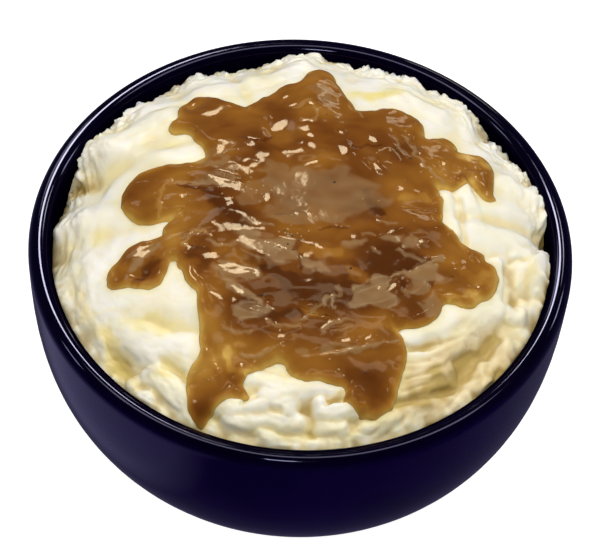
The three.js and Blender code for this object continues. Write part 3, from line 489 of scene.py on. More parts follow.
def warped(x, y, warps, waves=swell):
    wx, wy = x, y
    for shift_x, shift_y, size_x, size_y, seed_x, seed_y in warps:
        wx = wx + shift_x * waves(x / size_x, y / size_y, seed_x)
        wy = wy + shift_y * waves(x / size_x, y / size_y, seed_y)
    return wx, wy


def flat_share(x, y, place, crispness=2):
    """From 1 in the middle of a place to 0 outside it."""
    at_x, at_y, long, wide, turn = place
    c, s = math.cos(math.radians(turn)), math.sin(math.radians(turn))
    u = ((x - at_x) * c + (y - at_y) * s) / long
    v = (-(x - at_x) * s + (y - at_y) * c) / wide
    return np.exp(-((u * u + v * v) ** crispness))


def wall_share(x, y):
    """How far out a point lies: 0 in the middle, 1 at the wall."""
    return np.hypot(x, y) / INSIDE_RADIUS


def contact_height(x, y):
    degrees = np.degrees(np.arctan2(y, x)) % 360
    z = np.full(np.shape(x), float(CONTACT_HEIGHT))
    for at, width, rise in CONTACT_SWELLS:
        away = (degrees - at + 180) % 360 - 180
        z += rise * np.exp(-((away / width) ** 2))
    for size, rise, seed, start in CONTACT_CRAGS:
        crags = noise(degrees / size, np.full(np.shape(x), 0.5), seed)
        z += rise * smoothstep(wall_share(x, y), start, 1) * crags
    return z


def rough_share(x, y):
    return np.clip((np.minimum(wall_share(x, y), 1) - ROUGH_FROM) / ROUGH_OVER, 0, 1)


def pressed_in(x, y, grooves):
    depths = np.zeros(np.shape(x))
    for path, half, depth in grooves:
        depths += depth * np.exp(-((near_path(x, y, path)[0] / half) ** 2))
    return depths


def folds_and_furrows(x, y):
    """The folds run into each other softly; the furrows are pressed into them."""
    radius = np.hypot(x, y)
    wx, wy = warped(x, y, FOLD_WARPS, noise)
    cubes = np.zeros(np.shape(x))
    for path, half, rise, softness in FOLDS:
        distance, way_x, way_y, _ = near_path(wx, wy, path)
        outwards = (way_x * x + way_y * y) / (distance * radius + 0.01)
        across = np.minimum(distance / (half * (1 - FOLD_LEAN * outwards)), 1)
        cubes += (rise * (1 - across**2) ** softness) ** 3
    return np.cbrt(cubes) - pressed_in(wx, wy, FURROWS)


def potato_height(x, y):
    """Height of the potato's surface, as in the solid."""
    share = np.minimum(wall_share(x, y), 1)
    contact = contact_height(x, y)
    z = contact + (MOUND_TOP - contact) * (1 - share**MOUND_POWER) ** SHOULDER_POWER
    z -= HOLLOW_DEPTH * flat_share(x, y, POOL_HOLLOW)
    z += folds_and_furrows(x, y) * (1 - smoothstep(inside_gravy(x, y), 0, FOLD_COVER))
    strength = SMOOTH_SHARE + (1 - SMOOTH_SHARE) * rough_share(x, y)
    for size, rise, seed in CRAGS:
        z += strength * rise * noise(x / size, y / size, seed)
    return z


def smooth_min(a, b, blend):
    h = np.clip(0.5 + 0.5 * (b - a) / blend, 0, 1)
    return b + (a - b) * h - blend * h * (1 - h)


def outside_run(x, y, run):
    *stretch, from_half, to_half = run
    distance, _, _, along = near_stretch(x, y, *stretch)
    return distance - (from_half + (to_half - from_half) * along)


def inside_gravy(x, y):
    """How deep a point lies inside the gravy's outline; negative outside it."""
    outside = outside_run(x, y, POOL)
    for run in RUNS:
        outside = smooth_min(outside, outside_run(x, y, run), RUN_BLEND)
    inside = -outside
    for notch in NOTCHES:
        inside = smooth_min(inside, outside_run(x, y, notch), NOTCH_BLEND)
    for size, shift, seed in BORDER_WANDER:
        inside = inside + shift * noise(x / size, y / size, seed)
    return inside


def gravy_thickness(inside):
    turn = np.clip(inside / GRAVY_ROUND, 0, 1)
    rounding = (1 - (1 - turn) ** 2) ** GRAVY_EDGE_POWER
    rounded = -GRAVY_SINK + (GRAVY_RUN + GRAVY_SINK) * rounding
    return rounded + GRAVY_DEEPER * smoothstep(inside, 0, GRAVY_SLOPE)


def levelled(x, y, z, places, lean, doming, keep, crispness):
    """The surface made nearly level round each place.

    Each is domed by that much of its size, and keeps a share of the slope that it had.
    """
    for place in places:
        at_x, at_y, long, wide, turn = place
        share = flat_share(x, y, place, crispness)
        dx, dy = x - at_x, y - at_y
        plane = (lean[0] + LEAN_CHANGE * at_x) * dx + (lean[1] + LEAN_CHANGE * at_y) * dy
        plane -= doming * math.sqrt(long * wide) * np.minimum((dx**2 + dy**2) / (long * wide), 4)
        level = np.sum((z - plane) * share) / np.sum(share)
        z = z + (level + plane - z) * share * (1 - keep)
    return z


def wall_radius(z, top_radius, base_radius, base_height):
    """Radius of a wall that stands upright under the lip and turns in to meet a flat base."""
    down = (LIP_HEIGHT - z) / (LIP_HEIGHT - base_height)
    return base_radius + (top_radius - base_radius) * (1 - down**WALL_POWER) ** (1 / WALL_ROUNDING)


def inside_wall(z):
    return wall_radius(z, INSIDE_RADIUS, FLOOR_RADIUS, FLOOR_HEIGHT)


def outside_wall(z):
    return wall_radius(z, RIM_RADIUS, UNDERSIDE_RADIUS, UNDERSIDE_HEIGHT)


# ---------------------------------------------------------------- meshes


def make_mesh(name, vertices, faces, material):
    """A smooth mesh object from vertices in millimetres."""
    mesh = bpy.data.meshes.new(name)
    mesh.from_pydata((np.asarray(vertices) * MM).tolist(), [], np.asarray(faces).tolist())
    mesh.validate()
    mesh.shade_smooth()
    mesh.materials.append(material)
    piece = bpy.data.objects.new(name, mesh)
    bpy.context.scene.collection.objects.link(piece)
    return piece


def add_attribute(piece, name, values):
    """A value for each vertex that materials can read; vertices past the last value get 0."""
    attribute = piece.data.attributes.new(name, "FLOAT", "POINT")
    hidden = np.zeros(len(piece.data.vertices) - len(values))
    attribute.data.foreach_set("value", np.concatenate([values, hidden]).astype(np.float32))


def columns(*values):
    return np.stack(values, 1)


def ring(radius, z, sides):
    """Points evenly round a circle."""
    turns = 2 * np.pi * np.arange(sides) / sides
    return columns(radius * np.cos(turns), radius * np.sin(turns), np.full(sides, z))


def ring_lattice(rings, radius, ease):
    """Points on rings round the origin, 6k of them on ring k, and the triangles between them."""
    points, triangles = [np.zeros((1, 3))], []

    def point_on(k, i):
        return (3 * k * (k - 1) + 1 + i % (6 * k)) if k else np.zeros_like(i)

    for k in range(1, rings + 1):
        points.append(ring(radius * (1 - (1 - k / rings) ** ease), 0, 6 * k))
        sector, i = (grid.ravel() for grid in np.meshgrid(np.arange(6), np.arange(k), indexing="ij"))
        outer, inner = sector * k + i, sector * (k - 1) + i
        triangles.append(columns(point_on(k, outer), point_on(k, outer + 1), point_on(k - 1, inner)))
        if k > 1:
            outer, inner = outer[i < k - 1], inner[i < k - 1]
            between = [point_on(k, outer + 1), point_on(k - 1, inner + 1), point_on(k - 1, inner)]
            triangles.append(columns(*between))
    points = np.concatenate(points)
    return points[:, 0], points[:, 1], np.concatenate(triangles)


def closed_rings(rings, first, last):
    """A body of rings of points, closed by a point before the first ring and one after the last."""
    sides = len(rings[0])
    i = np.arange(sides)
    j = np.roll(i, -1)
    faces = []
    for row in range(len(rings) - 1):
        a, b = row * sides + i, row * sides + j
        faces.append(columns(a, b, b + sides, a, b + sides, a + sides).reshape(-1, 3))
    count = len(rings) * sides
    faces.append(columns(np.full(sides, count), j, i))
    faces.append(columns(np.full(sides, count + 1), count - sides + i, count - sides + j))
    return np.concatenate([*rings, [first, last]]), np.concatenate(faces)


def joined(parts):
    vertices, faces, count = [], [], 0
    for part_vertices, part_faces in parts:
        vertices.append(part_vertices)
        faces.append(part_faces + count)
        count += len(part_vertices)
    return np.concatenate(vertices), np.concatenate(faces)


def edges_of(triangles):
    return np.concatenate([triangles[:, [0, 1]], triangles[:, [1, 2]], triangles[:, [2, 0]]])


def surface_normals(vertices, triangles):
    a, b, c = (vertices[triangles[:, n]] for n in range(3))
    face_normals = np.cross(b - a, c - a)
    normals = np.zeros_like(vertices)
    for axis in range(3):
        for n in range(3):
            normals[:, axis] += np.bincount(triangles[:, n], face_normals[:, axis], len(vertices))
    return normals / np.linalg.norm(normals, axis=1, keepdims=True)


def smoothed(values, triangles, rounds):
    """Each value replaced by the mean of its neighbours, so many times over."""
    edges = edges_of(triangles)
    edges = np.concatenate([edges, edges[:, ::-1]])
    counts = np.bincount(edges[:, 0], minlength=len(values))
    for _ in range(rounds):
        values = np.bincount(edges[:, 0], values[edges[:, 1]], len(values)) / counts
    return values


# ---------------------------------------------------------------- materials


def new_material(name, colour):
    """A material that shows as the colour in a plain view, its node tree and its shader."""
    material = bpy.data.materials.new(name)
    material.use_nodes = True
    material.diffuse_color = (*colour, 1)
    return material, material.node_tree, material.node_tree.nodes["Principled BSDF"]


def set_inputs(node, values):
    """Links each input to a socket, or sets it to a number or colour."""
    for name, value in values.items():
        socket = node.inputs[name]
        if isinstance(value, bpy.types.NodeSocket):
            node.id_data.links.new(value, socket)
        else:
            socket.default_value = (*value, 1) if socket.type == "RGBA" else value


def add_node(tree, kind, inputs, **settings):
    """A new shader node of a kind, with its inputs and its own settings."""
    node = tree.nodes.new("ShaderNode" + kind)
    for name, value in settings.items():
        setattr(node, name, value)
    set_inputs(node, inputs)
    return node


def object_noise(tree, scale, detail):
    """Noise over the object's own coordinates; the scale is in cells per metre."""
    place = add_node(tree, "TexCoord", {}).outputs["Object"]
    return add_node(tree, "TexNoise", {"Vector": place, "Scale": scale, "Detail": detail}).outputs["Fac"]


def attribute_value(tree, name):
    return add_node(tree, "Attribute", {}, attribute_name=name).outputs["Fac"]


def ramp(tree, source, *stops):
    """A colour for each value of the source: stops are (value, colour)."""
    node = add_node(tree, "ValToRGB", {"Fac": source})
    elements = node.color_ramp.elements
    while len(elements) < len(stops):
        elements.new(0.5)
    for element, (value, colour) in zip(elements, stops):
        element.position = value
        element.color = (*colour, 1)
    return node.outputs["Color"]


def clouded(tree, clouds, low, high):
    """Colours, or greys given as one number, for where a noise is low and where it is high."""
    low, high = (colour if isinstance(colour, tuple) else (colour,) * 3 for colour in (low, high))
    return ramp(tree, clouds, (0.3, low), (0.7, high))


def mix(tree, factor, a, b, blend="MIX"):
    inputs = {"Factor": factor, "A": a, "B": b}
    node = add_node(tree, "Mix", inputs, data_type="RGBA", blend_type=blend)
    return next(out for out in node.outputs if out.type == "RGBA")


def bump(tree, height, distance, strength=1):
    inputs = {"Height": height, "Distance": distance, "Strength": strength}
    return add_node(tree, "Bump", inputs).outputs["Normal"]


def glaze_material():
    material, tree, shader = new_material("navy_glaze", (0.004, 0.002, 0.02))
    clouds = object_noise(tree, 35, 3)
    blue = clouded(tree, clouds, (0.0022, 0.0003, 0.018), (0.0036, 0.0006, 0.027))
    # Painted shade: a near-black copy of the glaze for the lip and the inside.
    painted_shade_black = clouded(tree, clouds, (0.0006, 0.0002, 0.0045), (0.001, 0.0003, 0.007))
    set_inputs(shader, {
        "Base Color": mix(tree, attribute_value(tree, "outside"), painted_shade_black, blue),
        "Roughness": clouded(tree, object_noise(tree, 220, 2), 0.05, 0.1),
        "IOR": 1.5,
        "Specular IOR Level": 0.5,
        "Specular Tint": (0.6, 0.62, 1),
        "Normal": bump(tree, object_noise(tree, 160, 1), 0.00002),
    })
    return material


def potato_material():
    material, tree, shader = new_material("mash_cream", (0.9, 0.84, 0.62))
    cream = clouded(tree, object_noise(tree, 90, 4), (0.875, 0.847, 0.695), (0.903, 0.897, 0.865))
    # Painted shade: white on open surfaces, yellow-brown in the hollows and between the folds.
    shade = ramp(
        tree, attribute_value(tree, "painted_shade"), (0, (1, 1, 1)), (0.3, (0.965, 0.895, 0.68)),
        (0.65, (0.83, 0.705, 0.47)), (1, (0.61, 0.46, 0.18)),
    )
    colour = mix(tree, 1, cream, shade, "MULTIPLY")
    set_inputs(shader, {
        # Yellow of butter and gravy stains, and of the yellow painted shade.
        "Base Color": mix(tree, attribute_value(tree, "stain_and_shade_tint"), colour, (0.87, 0.75, 0.25)),
        "Roughness": 0.42,
        "IOR": 1.4,
        "Subsurface Weight": 0.6,
        "Subsurface Radius": (1, 0.85, 0.6),
        "Subsurface Scale": 0.0018,
        "Normal": bump(tree, object_noise(tree, 700, 4), 0.00012, 0.6),
    })
    return material


def gravy_material():
    material, tree, shader = new_material("gravy_brown", (0.25, 0.1, 0.02))
    colour = ramp(
        tree, attribute_value(tree, "depth"), (0, (0.62, 0.4, 0.1)), (0.25, (0.4, 0.2, 0.034)),
        (0.5, (0.285, 0.115, 0.016)), (0.75, (0.17, 0.056, 0.009)), (1, (0.088, 0.025, 0.005)),
    )
    clouds = clouded(tree, object_noise(tree, 120, 5), 0.94, 1.05)
    colour = mix(tree, 1, colour, clouds, "MULTIPLY")
    set_inputs(shader, {
        # Pale colour of the painted reflection and sheen.
        "Base Color": mix(tree, attribute_value(tree, "painted_sheen"), colour, (0.32, 0.205, 0.098)),
        "Roughness": clouded(tree, object_noise(tree, 300, 2), 0.07, 0.13),
        "IOR": 1.42,
        "Specular IOR Level": 0.3,
        "Specular Tint": (1, 0.84, 0.58),
        "Subsurface Weight": 0.22,
        "Subsurface Radius": (1, 0.62, 0.15),
        "Subsurface Scale": 0.0014,
        "Normal": bump(tree, object_noise(tree, 420, 2), 0.00006),
    })
    return material


def bubble_material():
    material, tree, shader = new_material("gravy_froth", (0.4, 0.24, 0.09))
    clouds = object_noise(tree, 500, 2)
    set_inputs(shader, {
        "Base Color": clouded(tree, clouds, (0.27, 0.15, 0.045), (0.38, 0.24, 0.1)),
        "Roughness": clouded(tree, clouds, 0.08, 0.16),
        "IOR": 1.42,
        "Normal": bump(tree, object_noise(tree, 900, 2), 0.00002),
    })
    return material


def pepper_material():
    material, tree, shader = new_material("pepper_dark", (0.03, 0.015, 0.008))
    clouds = object_noise(tree, 1500, 3)
    set_inputs(shader, {
        "Base Color": clouded(tree, clouds, (0.012, 0.006, 0.004), (0.06, 0.03, 0.012)),
        "Roughness": clouded(tree, clouds, 0.35, 0.55),
        "Normal": bump(tree, clouds, 0.00005),
    })
    return material


def floor_material():
    material, tree, shader = new_material("pale_floor", (0.9, 0.9, 0.9))
    set_inputs(shader, {
        "Base Color": clouded(tree, object_noise(tree, 3, 2), 0.42, 0.45),
        "Roughness": 0.9,
        "Emission Color": (1, 1, 1),
        "Emission Strength": 0.95,
    })
    return material


# ---------------------------------------------------------------- pieces


def bowl_profile():
    """Radius and height of each ring: over the foot, up the outside, over the lip, down the inside."""
    profile = [
        (FOOT_INSIDE - FOOT_EDGE - 1, RECESS_HEIGHT),
        (FOOT_INSIDE - FOOT_EDGE, RECESS_HEIGHT - 0.2),
        (FOOT_INSIDE, FOOT_EDGE),
        (FOOT_INSIDE + FOOT_EDGE, 0),
        (FOOT_OUTSIDE - FOOT_EDGE, 0),
        (FOOT_OUTSIDE, FOOT_EDGE),
        (outside_wall(RECESS_HEIGHT), RECESS_HEIGHT),
    ]
    heights = np.geomspace(RECESS_HEIGHT + 0.8, LIP_HEIGHT - 1, OUTSIDE_ROWS)
    profile += [(outside_wall(z), z) for z in heights]
    for turn in np.linspace(0, np.pi, LIP_ROWS):
        radius = RIM_RADIUS - LIP_ROUND + LIP_ROUND * np.cos(turn)
        profile.append((radius, LIP_HEIGHT + LIP_ROUND * np.sin(turn)))
    profile += [(inside_wall(z), z) for z in np.linspace(LIP_HEIGHT - 1, FLOOR_HEIGHT + 1, INSIDE_ROWS)]
    profile.append((FLOOR_RADIUS, FLOOR_HEIGHT))
    return profile


def make_bowl():
    rings = [ring(radius, z, BOWL_SIDES) for radius, z in bowl_profile()]
    vertices, faces = closed_rings(rings, (0, 0, RECESS_HEIGHT), (0, 0, FLOOR_HEIGHT))
    bowl = make_mesh("Bowl", vertices, faces, glaze_material())
    x, y, z = vertices.T
    # The lip and inside get the glaze's near-black copy as painted shade; the outside wall keeps its blue.
    past_wall = np.hypot(x, y) > inside_wall(np.clip(z, FLOOR_HEIGHT, LIP_HEIGHT)) + LIP_ROUND
    outside = (z > FLOOR_HEIGHT) & past_wall
    add_attribute(bowl, "outside", outside * (1 - smoothstep(z, LIP_HEIGHT, BOWL_HEIGHT)))
    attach(bowl, "root")
    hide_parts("bowl")


def tinted(x, y, places):
    """Strength of a stain or of painted shade from a table of places, cloudy and with blurred borders."""
    wx, wy = warped(x, y, TINT_WARPS)
    tint = np.zeros(np.shape(x))
    for *place, strength in places:
        tint += strength * flat_share(wx, wy, place)
    return np.clip(tint * patchy(x, y, TINT_PATCHES), 0, 1)


def round_and_down(x, y, z):
    """Place on the mound in turns round the bowl and in millimetres out and down its side."""
    return np.arctan2(y, x) / (2 * np.pi), np.hypot(x, y) - z


def crumbly(x, y, z):
    """Rounded crumbs towards the wall, as long again on its steep side as on the flat."""
    share = wall_share(x, y)
    front = smoothstep(-y / INSIDE_RADIUS, *FRONT_RANGE)
    back = smoothstep(y / INSIDE_RADIUS, *BACK_RANGE)
    start = CRUMBS_FROM_BACK + (CRUMBS_FROM_FRONT - CRUMBS_FROM_BACK) * front
    turns, down = round_and_down(x, y, z)
    relief = np.zeros(np.shape(x))
    for cells, size, front_rise, back_rise, seed in CRUMBS:
        along = turns * cells + CRUMB_WANDER * swell(x / size / 2, y / size / 2, seed + 10)
        across = down / size + CRUMB_WANDER * swell(x / size / 2, y / size / 2, seed + 20)
        rise = front_rise + (back_rise - front_rise) * back
        relief += rise * (2 * np.hypot(swell(along, across, seed, cells), CREASE_ROUND) - CRUMB_LOWERING)
    strength = smoothstep(share, start, CRUMBS_FULL)
    strength = strength * (1 + CRUMBS_AT_WALL * back * smoothstep(share, *WALL_RANGE))
    return relief * strength * np.clip(patchy(x, y, CRUMB_PATCHES), CRUMB_LEAST, 1)


def potato_relief(x, y, z):
    """Crumbs, grain and creases that are finer than the solid's, along the surface's normal."""
    rough = rough_share(x, y)
    steep = smoothstep(wall_share(x, y), *STEEP_RANGE)
    bare = 1 - smoothstep(inside_gravy(x, y), *COVER_RANGE)
    turns, down = round_and_down(x, y, z)
    wx, wy = warped(x, y, GRAIN_WARPS)
    relief = crumbly(x, y, z)
    for size, smooth_rise, rough_rise, seed in GRAIN:
        cells = round(2 * np.pi * INSIDE_RADIUS / size)
        level_grain = swell(wx / size, wy / size, seed)
        steep_grain = swell(turns * cells, down / size + 0.4 * level_grain, seed + 5, cells)
        relief += (smooth_rise + rough_rise * rough) * (level_grain + (steep_grain - level_grain) * steep)
    crease_x = (1 - CREASE_WANDER) * x + CREASE_WANDER * wx
    crease_y = (1 - CREASE_WANDER) * y + CREASE_WANDER * wy
    return (relief - pressed_in(crease_x, crease_y, CREASES)) * bare


def with_underside(top, triangles):
    """The potato's surface, closed by a side that follows the bowl's wall and a flat underside."""
    sides = 6 * POTATO_RINGS
    above = np.arange(len(top) - sides, len(top))
    vertices, faces = [top], [triangles]
    for z in SKIRT_HEIGHTS:
        row = above + sides
        vertices.append(ring(inside_wall(z) - BOWL_GAP, z + BOWL_GAP, sides))
        next_above, next_row = np.roll(above, -1), np.roll(row, -1)
        faces += [columns(above, row, next_above), columns(next_above, row, next_row)]
        above = row
    vertices.append([(0, 0, FLOOR_HEIGHT + BOWL_GAP)])
    faces.append(columns(above, np.full(sides, above[-1] + 1), np.roll(above, -1)))
    return np.concatenate(vertices), np.concatenate(faces)


def make_potato():
    x, y, triangles = ring_lattice(POTATO_RINGS, INSIDE_RADIUS, RING_EASE)
    flat = columns(x, y, potato_height(x, y))
    relief = potato_relief(x, y, flat[:, 2])
    top = flat + surface_normals(flat, triangles) * relief[:, None]
    reach = np.hypot(top[:, 0], top[:, 1])
    top[:, :2] *= np.minimum(1, (INSIDE_RADIUS + WALL_OVERLAP) / np.maximum(reach, 1))[:, None]

    # Painted shade: darker in the hollows, and in the places that SHADES lists.
    height = top[:, 2]
    painted_shade = np.zeros(len(x))
    for rounds, depth, darkest in PAINTED_HOLLOW_SHADES:
        below = smoothed(height, triangles, rounds) - height
        painted_shade = np.maximum(painted_shade, darkest * np.clip(below / depth, 0, 1))
    painted_shade = np.clip(painted_shade + tinted(x, y, SHADES), 0, 1)
    stain = GRAVY_STAIN * (1 - smoothstep(-inside_gravy(x, y), *STAIN_RANGE))

    potato = make_mesh("Mash", *with_underside(top, triangles), potato_material())
    potato.visible_glossy = False
    add_attribute(potato, "painted_shade", painted_shade)
    # The yellow tint: butter and gravy stains, and yellow painted shade along a ledge and in a valley.
    add_attribute(potato, "stain_and_shade_tint", np.maximum(tinted(x, y, STAIN_AND_SHADE_TINTS), stain))
    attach(potato, "root")
    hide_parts("mash")


def clip_to_gravy(x, y, triangles):
    """The part of the lattice inside the gravy's outline, with new points where the outline crosses."""
    depth = inside_gravy(x, y)
    inner = depth > 0
    kinds = inner[triangles].sum(1)
    whole = triangles[kinds == 3]
    crossed = triangles[(kinds == 1) | (kinds == 2)]
    points, known, faces = [], {}, []

    def crossing(i, j):
        key = (min(i, j), max(i, j))
        if key not in known:
            share = np.clip(depth[i] / (depth[i] - depth[j]), *CUT_SHARE)
            known[key] = len(x) + len(points)
            points.append((x[i] + (x[j] - x[i]) * share, y[i] + (y[j] - y[i]) * share))
        return known[key]

    for triangle in crossed.tolist():
        outline = []
        for n in range(3):
            i, j = triangle[n], triangle[(n + 1) % 3]
            if inner[i]:
                outline.append(i)
            if inner[i] != inner[j]:
                outline.append(crossing(i, j))
        faces += [(outline[0], outline[n], outline[n + 1]) for n in range(1, len(outline) - 1)]
    points = np.array(points)
    xs, ys = np.concatenate([x, points[:, 0]]), np.concatenate([y, points[:, 1]])
    faces = np.concatenate([whole, np.array(faces)])
    used, numbered = np.unique(faces, return_inverse=True)
    return xs[used], ys[used], numbered.reshape(faces.shape)


def draw_to_border(x, y):
    """Moves points near the border outwards, so that a round border gets evenly turned faces."""
    depth = np.maximum(inside_gravy(x, y), 0)
    step = 0.05
    gx = (inside_gravy(x + step, y) - inside_gravy(x - step, y)) / (2 * step)
    gy = (inside_gravy(x, y + step) - inside_gravy(x, y - step)) / (2 * step)
    length = np.maximum(np.hypot(gx, gy), 0.3)
    turn = np.clip(depth / GRAVY_ROUND, 0, 1) * np.pi / 2
    drawn = GRAVY_ROUND * (1 - np.cos(turn))
    shift = np.where(depth < GRAVY_ROUND, depth - drawn, 0)
    return x - gx / length * shift, y - gy / length * shift


def gravy_relief(x, y, inside):
    relief = sum(rise * swell(x / size_x, y / size_y, seed) for rise, size_x, size_y, seed in RIPPLES)
    fullness = smoothstep(inside, 0, RIPPLES_FULL)
    return relief * (RIPPLES_AT_BORDER + (1 - RIPPLES_AT_BORDER) * fullness)


def painted_reflection_share(x, y):
    """How strongly the gravy is painted with pale reflection; its patches have torn edges."""
    wx, wy = warped(x, y, REFLECTION_WARPS)
    painted_sheen = np.zeros(np.shape(x))
    for *place, paleness in PAINTED_REFLECTIONS:
        painted_sheen = np.maximum(painted_sheen, paleness * smoothstep(flat_share(wx, wy, place), *REFLECTION_RANGE))
    return painted_sheen * patchy(x, y, REFLECTION_PATCHES)


def streaks(x, y):
    """What the streaks add to the gravy's shade and height, and how much pale painted sheen they lay on it.
    """
    wx, wy = warped(x, y, STREAK_WARPS)
    widening = patchy(x, y, STREAK_PATCHES)
    shade, paleness, height = np.zeros((3, len(x)))
    for path, half, darker, pale, rise in STREAKS:
        near = 1 - smoothstep(near_path(wx, wy, path)[0] / (half * widening), *STREAK_RANGE)
        shade += darker * near
        paleness = np.maximum(paleness, pale * near)
        height += rise * near
    return shade, paleness, height


def gravy_depth(x, y, inside, thickness):
    """How dark the gravy looks, from 0 to 1, apart from its streaks."""
    depth = DEPTH_THIN + DEPTH_THICK * smoothstep(thickness, -GRAVY_SINK, THICKEST)
    wx, wy = warped(x, y, CLOUD_WARPS)
    depth += patchy(x, y, BROAD_CLOUDS) + patchy(wx, wy, FINE_CLOUDS)
    for at_x, at_y, radius, darker in TONES:
        depth += darker * np.exp(-(((x - at_x) ** 2 + (y - at_y) ** 2) / radius**2))
    for paler, start, end in PALE_BORDERS:
        depth -= paler * (1 - smoothstep(inside, start, end))
    return depth + GRAVY_DARKER


def make_gravy():
    x, y, triangles = clip_to_gravy(*ring_lattice(GRAVY_RINGS, GRAVY_REACH, 1))
    x, y = draw_to_border(x, y)
    inside = np.maximum(inside_gravy(x, y), 0)
    pool = flat_share(x, y, POOL_HOLLOW)
    potato = potato_height(x, y)
    z = potato + gravy_thickness(inside)
    z += (POOL_LEVEL - z) * pool
    z += gravy_relief(x, y, inside) * (1 - POOL_CALM * pool)
    z = levelled(x, y, z, FLATS, FLAT_LEAN, doming=0, keep=0.1, crispness=2)
    z = levelled(x, y, z, SHINES, SHINE_LEAN, doming=SHINE_DOME, keep=0.05, crispness=1.3)
    streak_shade, streak_sheen, streak_height = streaks(x, y)
    z += streak_height * smoothstep(inside, 0, STREAKS_FULL)

    count = len(x)
    under = np.minimum(potato, z) - GRAVY_UNDER
    edges = edges_of(triangles).astype(np.int64)
    border = edges[~np.isin(edges @ (count, 1), edges @ (1, count))]
    a, b = border.T
    faces = [
        triangles,
        triangles[:, ::-1] + count,
        columns(a + count, b + count, b),
        columns(a + count, b, a),
    ]
    vertices = np.concatenate([columns(x, y, z), columns(x, y, under)])
    gravy = make_mesh("Gravy", vertices, np.concatenate(faces), gravy_material())
    depth = np.clip(gravy_depth(x, y, inside, z - potato) + streak_shade, 0, 1)
    add_attribute(gravy, "depth", np.tile(depth, 2))
    # The pale painted reflection and sheen go into their own attribute.
    add_attribute(gravy, "painted_sheen", np.tile(np.maximum(painted_reflection_share(x, y), streak_sheen), 2))
    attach(gravy, "root")
    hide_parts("gravy")
    return x, y, z


def dome(radius, height, sides=10, rows=4):
    """Vertices and triangles of a closed dome with a flat underside."""
    lifts = 0.5 * np.pi * np.arange(rows) / rows
    rings = [ring(radius * np.cos(lift), height * np.sin(lift), sides) for lift in lifts]
    return closed_rings(rings, (0, 0, 0), (0, 0, height))


def surface_at(surface, x, y):
    """Height of the lattice point that lies nearest."""
    return surface[2][np.argmin((surface[0] - x) ** 2 + (surface[1] - y) ** 2)]


def make_bubbles(surface):
    """Froth: small bubbles that stand in the gravy's skin in a few clusters."""
    random = np.random.default_rng(17)
    parts = []
    for middle, spread, count in FROTH:
        for _ in range(count):
            x, y = random.normal(middle, spread)
            radius = random.uniform(*BUBBLE_RADII)
            if inside_gravy(x, y) > 2:
                vertices, faces = dome(radius, BUBBLE_HEIGHT * radius)
                parts.append((vertices + (x, y, surface_at(surface, x, y) - BUBBLE_SUNK * radius), faces))
    bubbles = make_mesh("GravyBubbles", *joined(parts), bubble_material())
    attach(bubbles, "root")


def make_flecks(surface):
    """Cracked pepper: flat dark flecks of uneven outline, half sunk in the gravy."""
    random = np.random.default_rng(23)
    parts = []
    for x, y, radius in FLECKS:
        vertices, faces = dome(radius, FLECK_HEIGHT * radius, FLECK_SIDES, rows=2)
        outline = random.uniform(*FLECK_OUTLINE, FLECK_SIDES)
        vertices[:-2, :2] *= np.tile(outline, 2)[:, None]
        parts.append((vertices + (x, y, surface_at(surface, x, y) - FLECK_SUNK * radius), faces))
    flecks = make_mesh("PepperFlecks", *joined(parts), pepper_material())
    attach(flecks, "root")


# ---------------------------------------------------------------- stage

AIM = (0.000305, 0, 0.04658)
CAMERA_DISTANCE = 0.56
CAMERA_ELEVATION = 52.98
CAMERA_ROLL = 3.55
LENS = 127.24
SENSOR = 36
FLOOR_HALF = 4000

# Lights: azimuth from +X and elevation in degrees, distance and size in metres, radiance, colour.
WHITE = (1, 1, 1)
MIRRORED_LIGHTS = (
    ("BackSmall", 103, 50, 1, (0.2, 0.2), 27, (1, 0.95, 0.82)),
    ("BackRightSmall", 62, 47, 1, (0.1, 0.1), 12, (1, 0.95, 0.82)),
    ("BackRightLow", 74, 18, 1, (0.2, 0.1), 4.5, (1, 0.91, 0.72)),
)
PLAIN_LIGHTS = (
    ("BackLeftPanel", 121, 36, 1, (0.2, 0.2), 3, WHITE),
    ("OverheadBar", 90, 79, 0.82, (0.8, 0.16), 3.6, (1, 0.92, 0.84)),
    ("RightSmall", 28, 35, 1, (0.14, 0.1), 9, WHITE),
    ("LeftSmall", 181, 36, 1, (0.14, 0.1), 6, WHITE),
    ("FrontSmall", 267, 61, 1, (0.12, 0.1), 14, WHITE),
)
SHADING_LIGHTS = (
    ("KeySoft", 40, 71, 1, (0.8, 0.8), 1.44, WHITE),
    ("Ceiling", 90, 89, 1, (3, 3), 0.42, WHITE),
    ("LeftFill", 205, 35, 1, (0.7, 0.6), 0.55, (1, 0.91, 0.7)),
    ("RightFill", 5, 45, 1, (0.6, 0.6), 0.8, (1, 0.95, 0.84)),
    ("FrontFill", 250, 58, 1, (0.7, 0.6), 1.4, (1, 0.9, 0.64)),
)


def facing_bowl(azimuth, elevation, distance, roll=0):
    """Place of a camera or light that faces the bowl from a direction in degrees, azimuth from +X."""
    turn = Matrix.Rotation(math.radians(azimuth + 90), 4, "Z")
    tilt = Matrix.Rotation(math.radians(90 - elevation), 4, "X")
    rolled = Matrix.Rotation(math.radians(roll), 4, "Z")
    return Matrix.Translation(AIM) @ turn @ tilt @ rolled @ Matrix.Translation((0, 0, distance))


def make_camera():
    data = bpy.data.cameras.new("Camera")
    data.lens = LENS
    data.sensor_width = SENSOR
    data.clip_start = 0.01
    camera = bpy.data.objects.new("Camera", data)
    camera.matrix_world = facing_bowl(-90, CAMERA_ELEVATION, CAMERA_DISTANCE, CAMERA_ROLL)
    bpy.context.scene.collection.objects.link(camera)
    bpy.context.scene.camera = camera


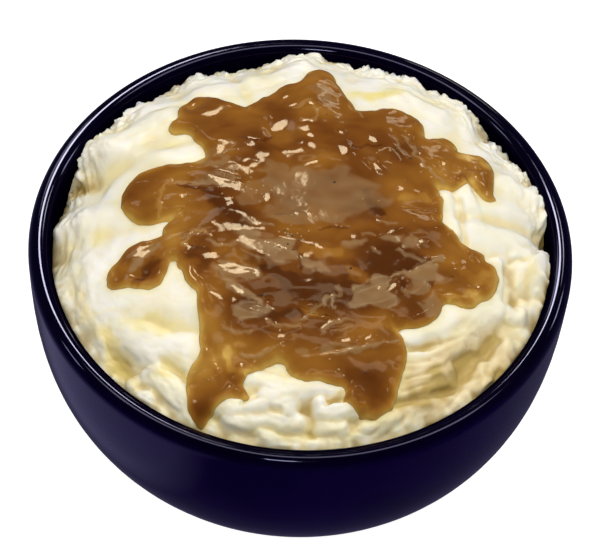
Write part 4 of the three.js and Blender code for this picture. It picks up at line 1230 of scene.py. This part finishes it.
def make_light(name, azimuth, elevation, distance, size, radiance, colour, mirrored, shades):
    """An area light; its radiance doesn't depend on its size."""
    data = bpy.data.lights.new(name, "AREA")
    data.shape = "RECTANGLE"
    data.size, data.size_y = size
    data.energy = radiance * math.pi * size[0] * size[1]
    data.color = colour
    light = bpy.data.objects.new(name, data)
    light.matrix_world = facing_bowl(azimuth, elevation, distance)
    light.visible_glossy = mirrored
    light.visible_diffuse = shades
    bpy.context.scene.collection.objects.link(light)


def make_lights():
    groups = ((MIRRORED_LIGHTS, True, False), (PLAIN_LIGHTS, True, True), (SHADING_LIGHTS, False, True))
    for lights, mirrored, shades in groups:
        for light in lights:
            make_light(*light, mirrored, shades)


def make_world():
    """Dim bluish surroundings, darkest towards the front, with a glow below at the left."""
    world = bpy.data.worlds.new("World")
    world.use_nodes = True
    tree = world.node_tree
    place = add_node(tree, "TexCoord", {}).outputs["Generated"]
    parts = add_node(tree, "SeparateXYZ", {"Vector": place}).outputs

    def graded(axis, start, end, low, high):
        """Goes from low to high between two places along an axis."""
        inputs = {"Value": parts[axis], "From Min": start, "From Max": end, "To Min": low, "To Max": high}
        return add_node(tree, "MapRange", inputs).outputs["Result"]

    def combined(operation, a, b):
        return add_node(tree, "Math", {0: a, 1: b}, operation=operation).outputs[0]

    towards_back = combined("MULTIPLY", graded("Y", -0.4, 0.3, 0.008, 0.1), graded("Z", -0.2, 0.4, 1, 0.4))
    low_left = combined("MULTIPLY", graded("X", -0.42, -0.3, 0.2, 0), graded("Z", -0.6, -0.1, 1, 0))
    strength = combined("ADD", towards_back, low_left)
    set_inputs(tree.nodes["Background"], {"Color": (0.6, 0.56, 1), "Strength": strength})
    bpy.context.scene.world = world


def make_floor():
    half = FLOOR_HALF
    corners = ((-half, -half, 0), (half, -half, 0), (half, half, 0), (-half, half, 0))
    floor = make_mesh("Floor", corners, ((0, 1, 2, 3),), floor_material())
    floor.visible_glossy = False


make_camera()
make_lights()
make_world()
make_floor()
make_bowl()
make_potato()
gravy_surface = make_gravy()
make_bubbles(gravy_surface)
make_flecks(gravy_surface)

bpy.context.scene.view_settings.view_transform = "Standard"
